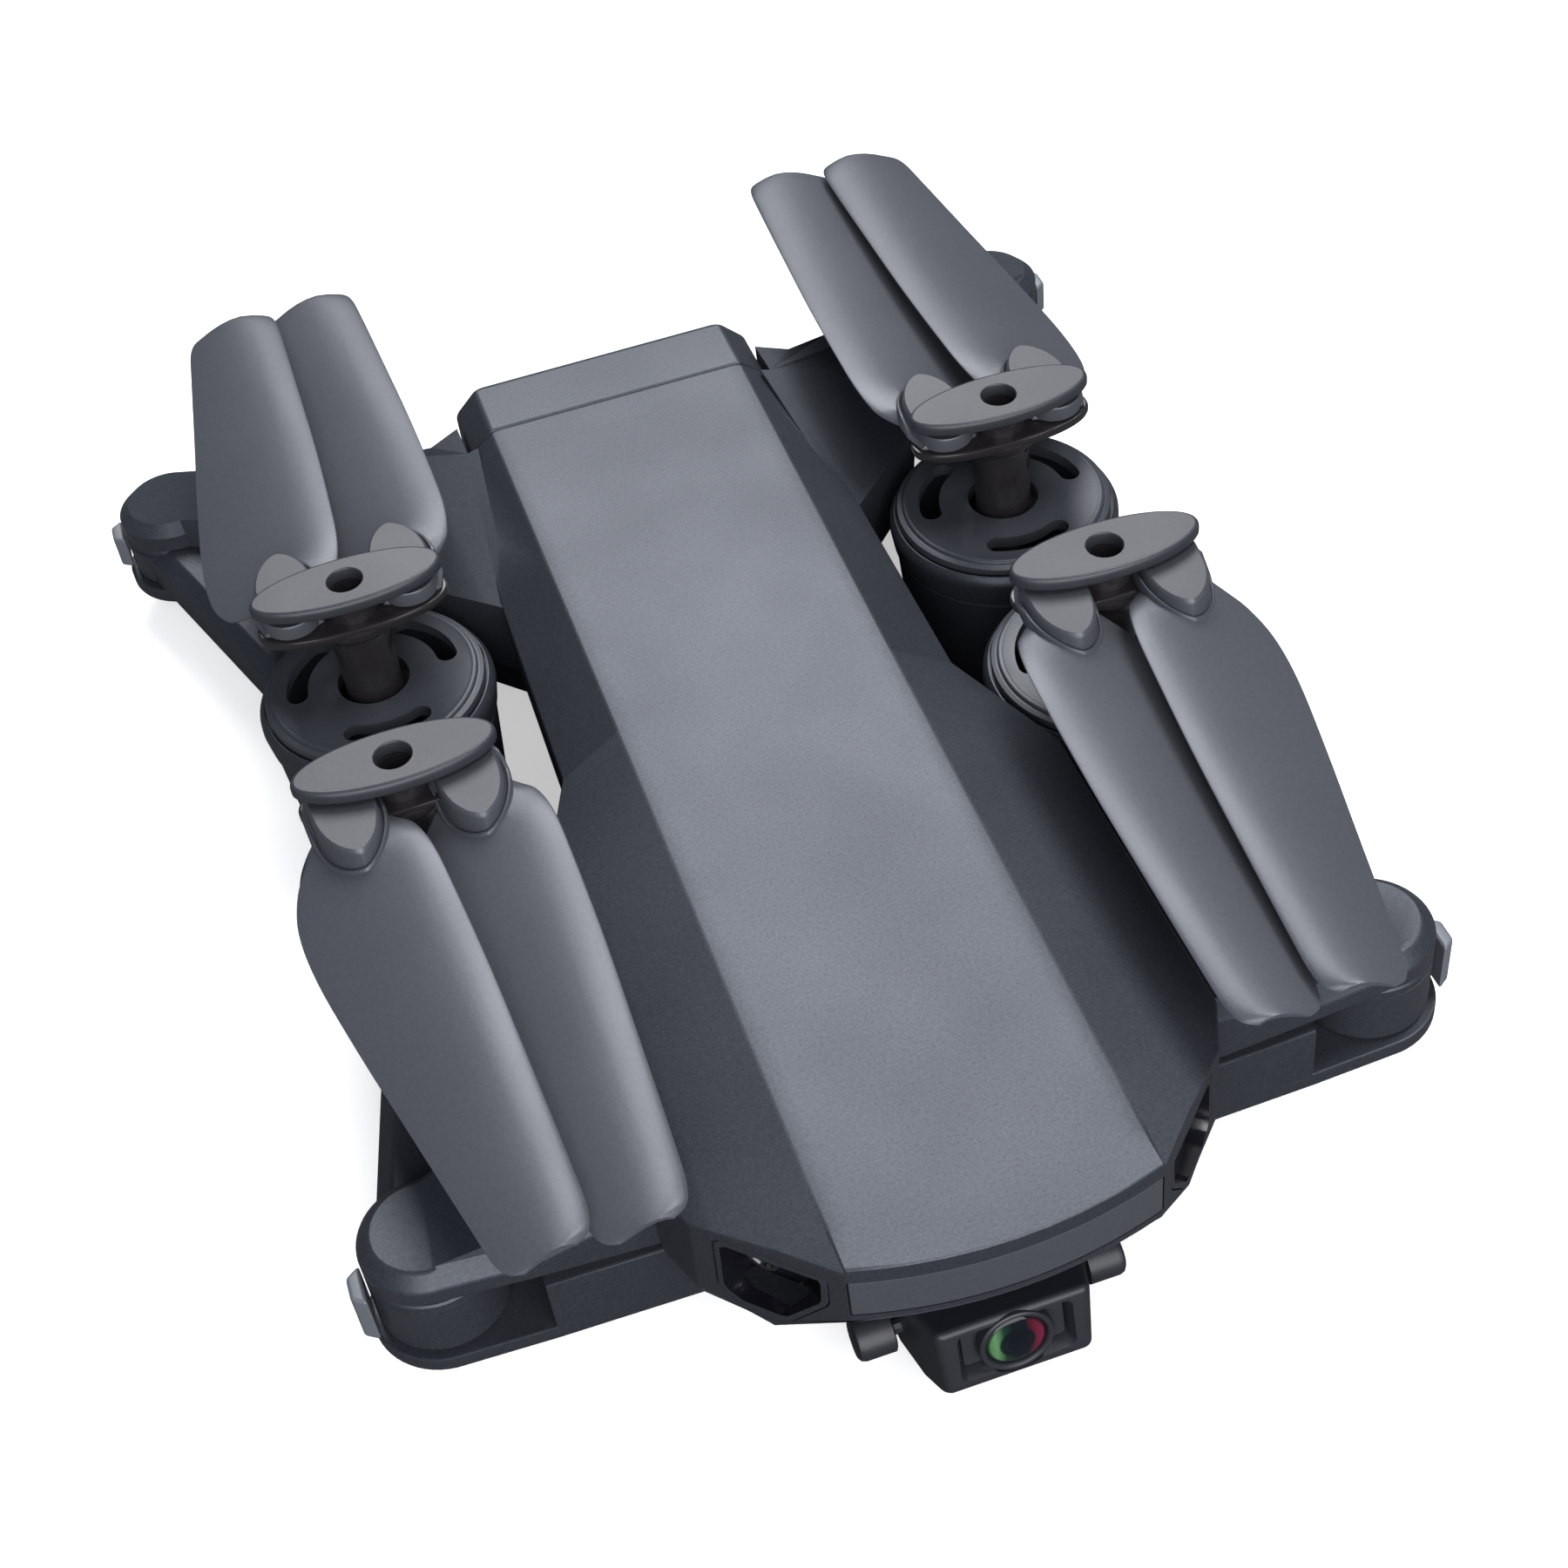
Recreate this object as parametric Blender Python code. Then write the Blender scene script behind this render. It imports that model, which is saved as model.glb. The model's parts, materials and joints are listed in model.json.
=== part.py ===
"""Folding camera quadcopter, modelled as its separate pieces in the folded state.

Drawing frame, in millimetres: +X is the drone's left-hand side seen from its nose, -Y is the nose,
+Z is up, z = 0 is the underside of the front hinge brackets. Meshes are made in metres, moved by
ORIGIN so that the part's origin is the middle of the footprint, on the surface it stands on.
"""

import math

import bmesh
import bpy
from mathutils import Matrix, Vector

# ---------------------------------------------------------------- driving dimensions, millimetres
MM = 0.001
ORIGIN = Vector((0.0, 29.08, -6.0))
GAP = 0.3                       # air between neighbouring pieces
ROUND = 22                      # sides of the large round pieces
SMALL_ROUND = 10                # sides of pins, screws and their holes

DECK_Z = 30.5                   # flat top deck
SPLIT_Z = 12.0                  # upper shell above, lower shell below
BELLY_Z = -1.0
WALL = 2.0
NOSE_Y = -71.0
NOSE_BULGE = 3.0
SHELL_END_Y = 93.7              # where the battery cap starts
CAP_END_Y = 106.8
CAP_HALF = 24.3

BOSS_R = 8.5                    # hinge bosses
FLANGE_R = 9.6
FLANGE_TOP = 2.5
PIN_R = 2.0
ROOT_LOW = 2.8
FRONT_HINGE = (63.0, -37.5)
REAR_HINGE = (72.1, 121.1)
FRONT_POD = (49.8, 17.2)
REAR_POD = (49.0, 54.2)
FRONT_EAR = (12.8, 15.5, 17.3)  # underside, chamfer start, top of the upper hinge ear
REAR_EAR = (10.2, 12.8, 14.5)

POD_R = 17.4
POD_FOOT_R = 15.3
POD_RIM_Z = 21.4
FOOT_Z = -6.0
COVER_R = 16.2
COVER_Z = (21.2, 23.2)
BEAM_HALF = 7.5

PLATE_LENGTH = 27.5             # prop hub plates
PLATE_WIDTH = 10.4
CLAMP_Z = (40.2, 42.2)
CARRIER_Z = (35.5, 37.1)
BLADE_PIN_X = 8.5
BARREL_Z = (37.4, 39.9)
COLLAR_R = 4.2

TILT_AXIS = (-62.0, 1.3)        # y, z of the camera's tilt axle
LENS_TILT = 18.6                # degrees, nose up in the stowed state
FACE_CENTRE = (TILT_AXIS[0] - 10.45, TILT_AXIS[1] + 5.3)

SCREWS = [(20.0, -40.0), (18.0, 84.0)]
SENSOR = (0.0, -22.0)
SENSOR_R = 5.0

CORNERS = {                     # side sign, hinge, pod, ear levels, fold direction of the blades
    "front_right": (-1, FRONT_HINGE, FRONT_POD, FRONT_EAR, -1),
    "front_left": (1, FRONT_HINGE, FRONT_POD, FRONT_EAR, -1),
    "rear_right": (-1, REAR_HINGE, REAR_POD, REAR_EAR, 1),
    "rear_left": (1, REAR_HINGE, REAR_POD, REAR_EAR, 1),
}
BLADE_REACH = 78.5              # pin to tip
TIP_GROWTH = {"front": 0.0, "rear": 1.5}    # how much wider each side of a blade is at its tip
BLADE_LEAN = {                  # degrees each folded blade leans towards the body
    ("front", "outer"): 5.7,
    ("front", "inner"): 1.3,
    ("rear", "outer"): 1.6,
    ("rear", "inner"): -1.6,
}

MATERIALS = {                   # colour, roughness, metallic
    "shell_plastic": ((0.165, 0.175, 0.2), 0.5, 0.0),
    "blade_plastic": ((0.11, 0.115, 0.13), 0.45, 0.0),
    "dark_plastic": ((0.028, 0.03, 0.036), 0.45, 0.0),
    "steel": ((0.55, 0.55, 0.56), 0.3, 1.0),
    "lamp_plastic": ((0.32, 0.34, 0.37), 0.35, 0.0),
    "smoked_lens": ((0.01, 0.011, 0.016), 0.12, 0.0),
    "lens_glass": ((0.01, 0.02, 0.02), 0.03, 0.0),
    "circuit_board": ((0.02, 0.11, 0.05), 0.5, 0.0),
    "contact_brass": ((0.7, 0.5, 0.2), 0.3, 1.0),
    "motor_can": ((0.35, 0.35, 0.36), 0.35, 1.0),
}


# ---------------------------------------------------------------- mesh helpers
def material(name):
    found = bpy.data.materials.get(name)
    if found:
        return found
    colour, roughness, metallic = MATERIALS[name]
    made = bpy.data.materials.new(name)
    made.use_nodes = True
    shader = made.node_tree.nodes["Principled BSDF"]
    shader.inputs["Base Color"].default_value = (*colour, 1.0)
    shader.inputs["Roughness"].default_value = roughness
    shader.inputs["Metallic"].default_value = metallic
    return made


def make(name, rings, finish, pivot=(0.0, 0.0, 0.0)):
    """One closed solid from rings of equal length, capped at both ends.

    pivot is the object's origin in the drawing frame."""
    mesh_data = bmesh.new()
    rows = [[mesh_data.verts.new((Vector(p) - Vector(pivot)) * MM) for p in ring] for ring in rings]
    for low, high in zip(rows, rows[1:]):
        for i in range(len(low)):
            j = (i + 1) % len(low)
            mesh_data.faces.new((low[i], low[j], high[j], high[i]))
    mesh_data.faces.new(rows[0][::-1])
    mesh_data.faces.new(rows[-1])
    bmesh.ops.remove_doubles(mesh_data, verts=mesh_data.verts, dist=0.00001)
    bmesh.ops.triangulate(mesh_data, faces=mesh_data.faces)
    bmesh.ops.recalc_face_normals(mesh_data, faces=mesh_data.faces)
    mesh = bpy.data.meshes.new(name)
    mesh_data.to_mesh(mesh)
    mesh_data.free()
    made = bpy.data.objects.new(name, mesh)
    made.location = (Vector(pivot) - ORIGIN) * MM
    made.data.materials.append(material(finish))
    bpy.context.scene.collection.objects.link(made)
    return made


def combine(target, tool, operation):
    """Boolean the tool into the target for good, and drop the tool."""
    step = target.modifiers.new("cut", "BOOLEAN")
    step.operation = operation
    step.solver = "EXACT"
    step.object = tool
    bpy.context.view_layer.update()
    graph = bpy.context.evaluated_depsgraph_get()
    result = bpy.data.meshes.new_from_object(target.evaluated_get(graph))
    target.modifiers.clear()
    target.data = result
    bpy.data.objects.remove(tool)


def join(target, *tools):
    for tool in tools:
        combine(target, tool, "UNION")


def cut(target, *tools):
    for tool in tools:
        combine(target, tool, "DIFFERENCE")


def level(outline, z):
    return [(x, y, z) for x, y in outline]


def prism(name, outline, low, high, finish, pivot=(0.0, 0.0, 0.0)):
    return make(name, [level(outline, low), level(outline, high)], finish, pivot)


def circle(centre, radius, count=16):
    return arc(centre, radius, 0.0, 360.0 * (count - 1) / count, count)


def arc(centre, radius, start, end, count):
    """Points from one angle to another, in degrees, both ends included."""
    turns = [math.radians(start + (end - start) * i / (count - 1)) for i in range(count)]
    return [(centre[0] + radius * math.cos(a), centre[1] + radius * math.sin(a)) for a in turns]


def round_bar(name, centre, radius, low, high, finish, pivot=(0.0, 0.0, 0.0), count=16):
    return prism(name, circle(centre, radius, count), low, high, finish, pivot)


def across(name, centre_yz, radius, start, end, finish, pivot=(0.0, 0.0, 0.0), count=10):
    """A round bar along X, at y and z."""
    rings = [[(x, y, z) for y, z in circle(centre_yz, radius, count)] for x in (start, end)]
    return make(name, rings, finish, pivot)


def box(name, low, high, finish, pivot=(0.0, 0.0, 0.0)):
    outline = [(low[0], low[1]), (high[0], low[1]), (high[0], high[1]), (low[0], high[1])]
    return prism(name, outline, low[2], high[2], finish, pivot)


def turned(name, centre, profile, finish, pivot, count=ROUND):
    """A solid of revolution about the vertical through centre, from a profile of (radius, z) that
    starts and ends on the axis."""
    rings = [[(x, y, z) for x, y in circle(centre, max(radius, 0.0001), count)] for radius, z in profile]
    return make(name, rings, finish, pivot)


def both_sides(half):
    """A closed outline from its right half, which runs from the nose's middle to the tail's."""
    return half + [(-x, y, z) for x, y, z in reversed(half[1:-1])]


def side(points, sign):
    return [(sign * x, *rest) for x, *rest in points]


# ---------------------------------------------------------------- body shells
# Half outlines run from the nose's middle to the tail's middle. Each station gives the deck edge,
# the ridge where the sloping flank meets the upright wall, and the lower edge of the upper shell.
NOSE_ARC = [(0.0, NOSE_Y - NOSE_BULGE), (10.0, NOSE_Y - 0.73 * NOSE_BULGE), (19.2, NOSE_Y)]
DECK = [*NOSE_ARC, (19.1, -65.0), (19.2, -58.0), (19.2, -50.0), (19.6, 2.0), (19.8, 22.0),
        (20.2, 60.0), (20.5, SHELL_END_Y), (0.0, SHELL_END_Y)]
RIDGE = [(0.0, -74.0, 29.7), (10.0, -73.2, 29.7), (19.3, -71.0, 29.7), (26.3, -63.3, 28.2),
         (33.3, -55.5, 25.9), (36.5, -48.0, 25.0), (36.5, 2.0, 24.3), (28.6, 22.0, 24.2),
         (28.0, 60.0, 24.8), (26.0, SHELL_END_Y, 26.0), (0.0, SHELL_END_Y, 26.0)]
EDGE = [(0.0, -74.0, 20.3), (10.0, -73.2, 20.3), (19.4, -71.0, 20.3), (26.8, -62.2, 11.9),
        (33.7, -55.3, 12.7), (36.2, -48.0, SPLIT_Z), (36.2, 2.0, SPLIT_Z), (28.3, 22.0, SPLIT_Z),
        (27.7, 60.0, SPLIT_Z), (25.7, SHELL_END_Y, SPLIT_Z), (0.0, SHELL_END_Y, SPLIT_Z)]
BELLY = [(0.0, -52.0), (9.0, -52.0), (17.0, -52.0), (23.0, -51.5), (28.5, -49.5), (31.5, -45.0),
         (31.5, 0.0), (24.5, 20.0), (24.0, 60.0), (22.5, SHELL_END_Y), (0.0, SHELL_END_Y)]
ROOM = [(0.0, -66.5), (15.0, -66.0), (20.0, -61.5), (30.0, -51.5), (34.0, -46.0), (34.0, 1.0),
        (26.2, 20.5), (25.6, 60.0), (23.6, 110.0), (0.0, 110.0)]
BASIN = [(0.0, -49.5), (16.0, -49.5), (26.5, -47.0), (29.3, -43.5), (29.3, -0.5), (22.3, 19.5),
         (21.8, 60.0), (20.4, 110.0), (0.0, 110.0)]
WINDOW_U = (0.673, 0.7396)      # unit direction along the right nose window, outwards and back
WINDOW_START = (19.3, -71.0)
WINDOW = [(3.4, 26.4), (17.4, 24.9), (17.8, 15.2), (15.6, 13.7), (9.4, 14.4), (3.4, 21.8)]


def front_ear(sign):
    """Upper hinge ear of a front arm: flat round end, sloping up to the body's ridge."""
    under, chamfer, top = FRONT_EAR
    rim = [(34.0, -48.0), (52.0, -46.9), *arc(FRONT_HINGE, BOSS_R, -93.0, 100.0, 13), (52.0, -24.4), (34.0, -14.5)]
    inner = [(34.0, -46.2), (52.0, -45.1), *arc(FRONT_HINGE, BOSS_R - 1.8, -93.0, 100.0, 13), (51.0, -26.0),
             (34.0, -16.6)]
    rise = [6.2] + [0.0] * (len(rim) - 2) + [6.2]
    rings = [level(rim, under),
             [(x, y, chamfer + r) for (x, y), r in zip(rim, rise)],
             [(x, y, top + r) for (x, y), r in zip(inner, rise)]]
    return make("ear", [side(ring, sign) for ring in rings], "shell_plastic")


def rear_ear(sign):
    """Upper hinge ear of a rear arm: a wedge-like wing that falls away from the deck's edge."""
    under, chamfer, top = REAR_EAR
    tip = arc(REAR_HINGE, BOSS_R, -98.0, 112.0, 13)
    flat = arc(REAR_HINGE, BOSS_R - 1.8, -98.0, 112.0, 13)
    wing = [(24.9, 101.2, 27.2), (24.9, 92.9, 28.2), (23.2, 92.1, 29.3), (26.6, 58.0, 24.9),
            (41.0, 73.5, 23.0), (50.5, 101.0, 17.5)]
    back = [(39.5, 109.8, 19.5), (29.8, 99.0, 26.6)]
    lower = [(x, y, SPLIT_Z) for x, y, _ in wing[:-1]] + [(51.5, 100.5, under)]
    rings = [lower + level(tip, under) + [(39.5, 110.6, SPLIT_Z), (29.8, 99.6, SPLIT_Z)],
             [(x, y, z - 1.0) for x, y, z in wing] + level(tip, chamfer) + [(x, y + 0.5, z - 1.0) for x, y, z in back],
             wing + level(flat, top) + back]
    return make("ear", [side(ring, sign) for ring in rings], "shell_plastic")


def window_point(u, depth):
    """Plan position at u along the nose window and depth behind its face."""
    return (WINDOW_START[0] + WINDOW_U[0] * u - WINDOW_U[1] * depth,
            WINDOW_START[1] + WINDOW_U[1] * u + WINDOW_U[0] * depth)


def window_rings(sign, grow, near, far):
    """Rings of a plug through the nose window, its outline grown about its own middle."""
    mid_u = sum(u for u, _ in WINDOW) / len(WINDOW)
    mid_z = sum(z for _, z in WINDOW) / len(WINDOW)
    rings = []
    for depth in (near, far):
        ring = []
        for u, z in WINDOW:
            reach = math.hypot(u - mid_u, z - mid_z)
            scale = (reach + grow) / reach
            x, y = window_point(mid_u + (u - mid_u) * scale, depth)
            ring.append((sign * x, y, mid_z + (z - mid_z) * scale))
        rings.append(ring)
    return rings


def upper_shell():
    deck = [(x, y, DECK_Z) for x, y in DECK]
    shell = make("upper_shell", [both_sides(EDGE), both_sides(RIDGE), both_sides(deck)], "shell_plastic")
    for sign in (1, -1):
        join(shell, front_ear(sign), rear_ear(sign))
    roof = [(min(x, 18.3), y, DECK_Z - WALL) for x, y in ROOM]
    eaves = [(x, y, 22.4) for x, y in ROOM]
    mouth = [(x, y, 0.0) for x, y in ROOM]
    cut(shell, make("room", [both_sides(mouth), both_sides(eaves), both_sides(roof)], "shell_plastic"))
    cut(shell, band("band_seat", 21.5, 28.0, -GAP, 1.5 + GAP, 0.9))
    for sign in (1, -1):
        cut(shell, make("window", window_rings(sign, 0.9, -2.0, 8.0), "shell_plastic"))
        for (x, y), ear in ((FRONT_HINGE, FRONT_EAR), (REAR_HINGE, REAR_EAR)):
            cut(shell, round_bar("pin_hole", (sign * x, y), PIN_R + GAP, 0.0, ear[2] - 2.2, "steel",
                                 count=SMALL_ROUND))
    return shell


def band(name, low, high, front, back, trim):
    """The curved strip across the nose; front and back are how far its faces lie behind the nose's arc."""
    def row(shift, z):
        return [(x * s, y + shift, z) for x, y, s in (
            (19.2 - trim, NOSE_Y, -1), (10.0, NOSE_Y - 0.73 * NOSE_BULGE, -1), (0.0, NOSE_Y - NOSE_BULGE, 1),
            (10.0, NOSE_Y - 0.73 * NOSE_BULGE, 1), (19.2 - trim, NOSE_Y, 1))]
    rings = [row(front, low) + row(back, low)[::-1], row(front, high) + row(back, high)[::-1]]
    return make(name, rings, "shell_plastic")


def bracket(sign, web, flange, web_top):
    """Lower hinge bracket: a web beside the arm's root and a round flange under it."""
    base = prism("web", side(web, sign), 0.0, web_top, "shell_plastic")
    join(base, prism("flange", side(flange, sign), 0.0, FLANGE_TOP, "shell_plastic"))
    return base


def lower_shell():
    low = [(x, y, z - (GAP if y > -50.0 else 3.0 * GAP)) for x, y, z in EDGE]
    belly = [(x, y, BELLY_Z) for x, y in BELLY]
    shell = make("lower_shell", [both_sides(belly), both_sides(low)], "shell_plastic")
    front_web = [(30.0, -48.0), (51.0, -47.6), (51.0, -31.0), (45.0, -23.5), (30.0, -17.0)]
    front_flange = [(30.0, -48.0), (51.0, -47.6), *arc(FRONT_HINGE, FLANGE_R, -90.0, 105.0, 13), (45.0, -23.5),
                    (30.0, -17.0)]
    rear_web = [(23.0, 63.0), (36.0, 77.0), (50.0, 104.0), (57.5, 113.5), (58.5, 121.5), (45.0, 113.0),
                (31.0, 97.5), (23.0, 91.5)]
    rear_flange = [(23.0, 63.0), (36.0, 77.0), (50.0, 104.0), *arc(REAR_HINGE, FLANGE_R, -105.0, 118.0, 13),
                   (45.0, 113.0), (31.0, 97.5), (23.0, 91.5)]
    for sign in (1, -1):
        join(shell, bracket(sign, front_web, front_flange, 11.5), bracket(sign, rear_web, rear_flange, 9.7))
    mouth = [(x, y, 30.0) for x, y in BASIN]
    floor = [(x, y, BELLY_Z + WALL) for x, y in BASIN]
    cut(shell, make("basin", [both_sides(floor), both_sides(mouth)], "shell_plastic"))
    for sign in (1, -1):
        cut(shell, *[round_bar("pin_hole", (sign * x, y), PIN_R + GAP, -1.0, 4.0, "steel", count=SMALL_ROUND)
                     for x, y in (FRONT_HINGE, REAR_HINGE)])
        cut(shell, *[round_bar("screw_seat", (sign * x, y), 2.0, BELLY_Z - 1.0, BELLY_Z + 1.2, "steel",
                               count=SMALL_ROUND) for x, y in SCREWS])
    cut(shell, round_bar("sensor_seat", SENSOR, SENSOR_R + GAP, BELLY_Z - 1.0, BELLY_Z + 1.2, "steel"))
    return shell


def body_trim():
    band("nose_band", 21.8, 27.7, 0.0, 1.5, 1.2)
    for sign, word in ((-1, "right"), (1, "left")):
        bezel = make("window_bezel_" + word, window_rings(sign, 0.5, 0.0, 1.6), "dark_plastic")
        cut(bezel, make("opening", window_rings(sign, -0.7, -1.0, 3.0), "dark_plastic"))
        make("window_lens_" + word, window_rings(sign, -1.1, 0.5, 1.5), "smoked_lens")
    round_bar("belly_sensor", SENSOR, SENSOR_R, BELLY_Z, BELLY_Z + 0.9, "smoked_lens")
    for (x, y), place in zip(SCREWS, ("front", "rear")):
        for sign, word in ((-1, "right"), (1, "left")):
            round_bar(f"body_screw_{place}_{word}", (sign * x, y), 1.6, BELLY_Z + 0.1, BELLY_Z + 0.9, "steel",
                      count=SMALL_ROUND)
    board = box("main_board", (-18.0, -46.0, 8.0), (18.0, -8.0, 9.6), "circuit_board")
    join(board, box("chip", (-8.0, -36.0, 9.2), (6.0, -24.0, 11.6), "circuit_board"),
         box("radio", (-15.0, -20.0, 9.2), (-4.0, -12.0, 12.4), "circuit_board"),
         box("plug", (6.0, -20.0, 9.2), (15.0, -13.0, 13.6), "circuit_board"))
    box("contact_block", (-12.0, -6.5, 7.0), (12.0, -2.3, 17.0), "contact_brass")


# ---------------------------------------------------------------- battery
def battery():
    """The pack with its tail cap, which slides out rearwards, and what is set in the cap."""
    section = [(0.0, DECK_Z), (20.5, DECK_Z), (CAP_HALF, 26.8), (CAP_HALF, 2.5), (21.0, BELLY_Z), (0.0, BELLY_Z)]
    outline = section + [(-x, z) for x, z in reversed(section[1:-1])]
    start, chamfer = SHELL_END_Y + GAP, CAP_END_Y - 1.4
    shrink = 0.94
    middle_z = (DECK_Z + BELLY_Z) / 2
    rings = [[(x, start, z) for x, z in outline], [(x, chamfer, z) for x, z in outline],
             [(x * shrink, CAP_END_Y, middle_z + (z - middle_z) * shrink) for x, z in outline]]
    pack = make("battery_pack", rings, "shell_plastic")
    join(pack, box("cells", (-16.0, -1.6, 2.2), (16.0, SHELL_END_Y + 1.0, 24.0), "dark_plastic"))
    cut(pack, box("contact_slot", (-10.0, -3.0, 9.0), (10.0, 1.5, 15.0), "dark_plastic"))
    for sign in (1, -1):
        slot = ordered((sign * (CAP_HALF - 3.0), 96.7, 2.9), (sign * (CAP_HALF + 2.0), 104.3, 9.6))
        cut(pack, box("latch_slot", *slot, "dark_plastic"))
    for sign, word in ((-1, "right"), (1, "left")):
        low, high = ordered((sign * (CAP_HALF - 1.6), 97.0, 3.2), (sign * (CAP_HALF + 0.7), 104.0, 9.3))
        latch = box("battery_latch_" + word, low, high, "dark_plastic",
                    pivot=(sign * CAP_HALF, 100.5, 6.2))
        for k in range(3):
            y = 98.6 + 1.9 * k
            groove = ordered((sign * (CAP_HALF + 0.3), y - 0.4, 2.0), (sign * (CAP_HALF + 2.0), y + 0.4, 11.0))
            cut(latch, box("grip", *groove, "dark_plastic"))
    rear = (0.0, CAP_END_Y, 15.0)
    cut(pack, along("button_hole", rear, 4.3, CAP_END_Y - 3.4, CAP_END_Y + 2.0))
    along("power_button", rear, 4.0, CAP_END_Y - 1.9, CAP_END_Y + 0.6, pivot=(0.0, CAP_END_Y, 15.0))


def ordered(a, b):
    return tuple(min(p, q) for p, q in zip(a, b)), tuple(max(p, q) for p, q in zip(a, b))


def along(name, centre, radius, start, end, finish="dark_plastic", pivot=(0.0, 0.0, 0.0), count=14):
    """A round bar along Y."""
    rings = [[(x, y, z) for x, z in circle((centre[0], centre[2]), radius, count)] for y in (start, end)]
    return make(name, rings, finish, pivot)


# ---------------------------------------------------------------- tilting camera
def camera():
    """Bracket fixed under the nose, axle, and the housing that tilts on it with its lens."""
    axis_y, axis_z = TILT_AXIS
    cheek = [(-2.9, 0.0), (-2.1, -2.1), (0.0, -2.9), (3.2, -2.4), (6.6, -0.6), (3.4, 3.2), (0.0, 2.9), (-2.1, 2.1)]
    parts = []
    for sign in (1, -1):
        rings = [[(sign * x, axis_y + y, axis_z + z) for y, z in cheek] for x in (12.5, 17.5)]
        parts.append(make("camera_bracket", rings, "dark_plastic"))
    bridge = [(6.6, -0.6), (4.1, 2.2), (3.1, 1.5), (5.6, -1.5)]
    spine = make("bridge", [[(x, axis_y + y + 0.9, axis_z + z - 0.2) for y, z in bridge] for x in (-16.0, 16.0)],
                 "dark_plastic")
    mount, other = parts
    join(mount, spine, other)
    cut(mount, across("axle_hole", TILT_AXIS, 1.3, -16.0, 16.0, "steel"))
    pivot = (0.0, axis_y, axis_z)
    across("camera_axle", TILT_AXIS, 1.0, -15.7, 15.7, "steel", pivot)
    profile = [(-12.0, 0.7), (-11.0, -1.0), (-6.0, -3.2), (0.0, -3.8), (2.7, -2.7), (3.6, 0.0), (2.7, 2.7),
               (-1.6, 6.9), (-8.9, 9.9)]
    rings = []
    for sign in (-1, 1):
        rings.append([(sign * (11.9 if y > -2.0 else 11.9 + (y + 2.0) * 0.29), axis_y + y, axis_z + z)
                      for y, z in profile])
    housing = make("camera_housing", rings, "dark_plastic", pivot)
    cut(housing, across("axle_bore", TILT_AXIS, 1.3, -14.0, 14.0, "steel"))
    cut(housing, facing("recess", [(-7.4, -3.9), (7.4, -3.9), (7.4, 3.9), (-7.4, 3.9)], -2.2, 3.0))
    cut(housing, facing("ring_seat", circle((0.0, 0.0), 5.4), -1.3, 3.0))
    cut(housing, facing("bore", circle((0.0, 0.0), 3.2, SMALL_ROUND), -6.7, 3.0))
    bezel = facing("camera_bezel", [(-7.1, -3.6), (7.1, -3.6), (7.1, 3.6), (-7.1, 3.6)], -1.9, -1.3, pivot=pivot)
    cut(bezel, facing("hole", circle((0.0, 0.0), 3.2, SMALL_ROUND), -4.0, 3.0))
    barrel = facing("camera_barrel", circle((0.0, 0.0), 5.1), -1.0, 0.6, pivot=pivot)
    join(barrel, facing("tube", circle((0.0, 0.0), 2.9, SMALL_ROUND), -6.4, -0.6))
    cut(barrel, facing("throat", circle((0.0, 0.0), 4.3), -0.5, 3.0))
    dome = [(4.0, -0.2), (4.0, 0.2), (2.9, 0.6), (1.5, 0.8)]
    glass_rings = [facing_points(circle((0.0, 0.0), r), out) for r, out in dome]
    make("camera_lens", glass_rings, "lens_glass", pivot)


def facing_points(outline, out):
    """Points on the camera's face: outline is (across, up the face), out is towards the scene."""
    lean = math.radians(LENS_TILT)
    up = Vector((0.0, math.sin(lean), math.cos(lean)))
    outward = Vector((0.0, -math.cos(lean), math.sin(lean)))
    centre = Vector((0.0, *FACE_CENTRE))
    return [centre + Vector((u, 0.0, 0.0)) + up * v + outward * out for u, v in outline]


def facing(name, outline, low, high, finish="dark_plastic", pivot=(0.0, 0.0, 0.0)):
    return make(name, [facing_points(outline, low), facing_points(outline, high)], finish, pivot)


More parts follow.
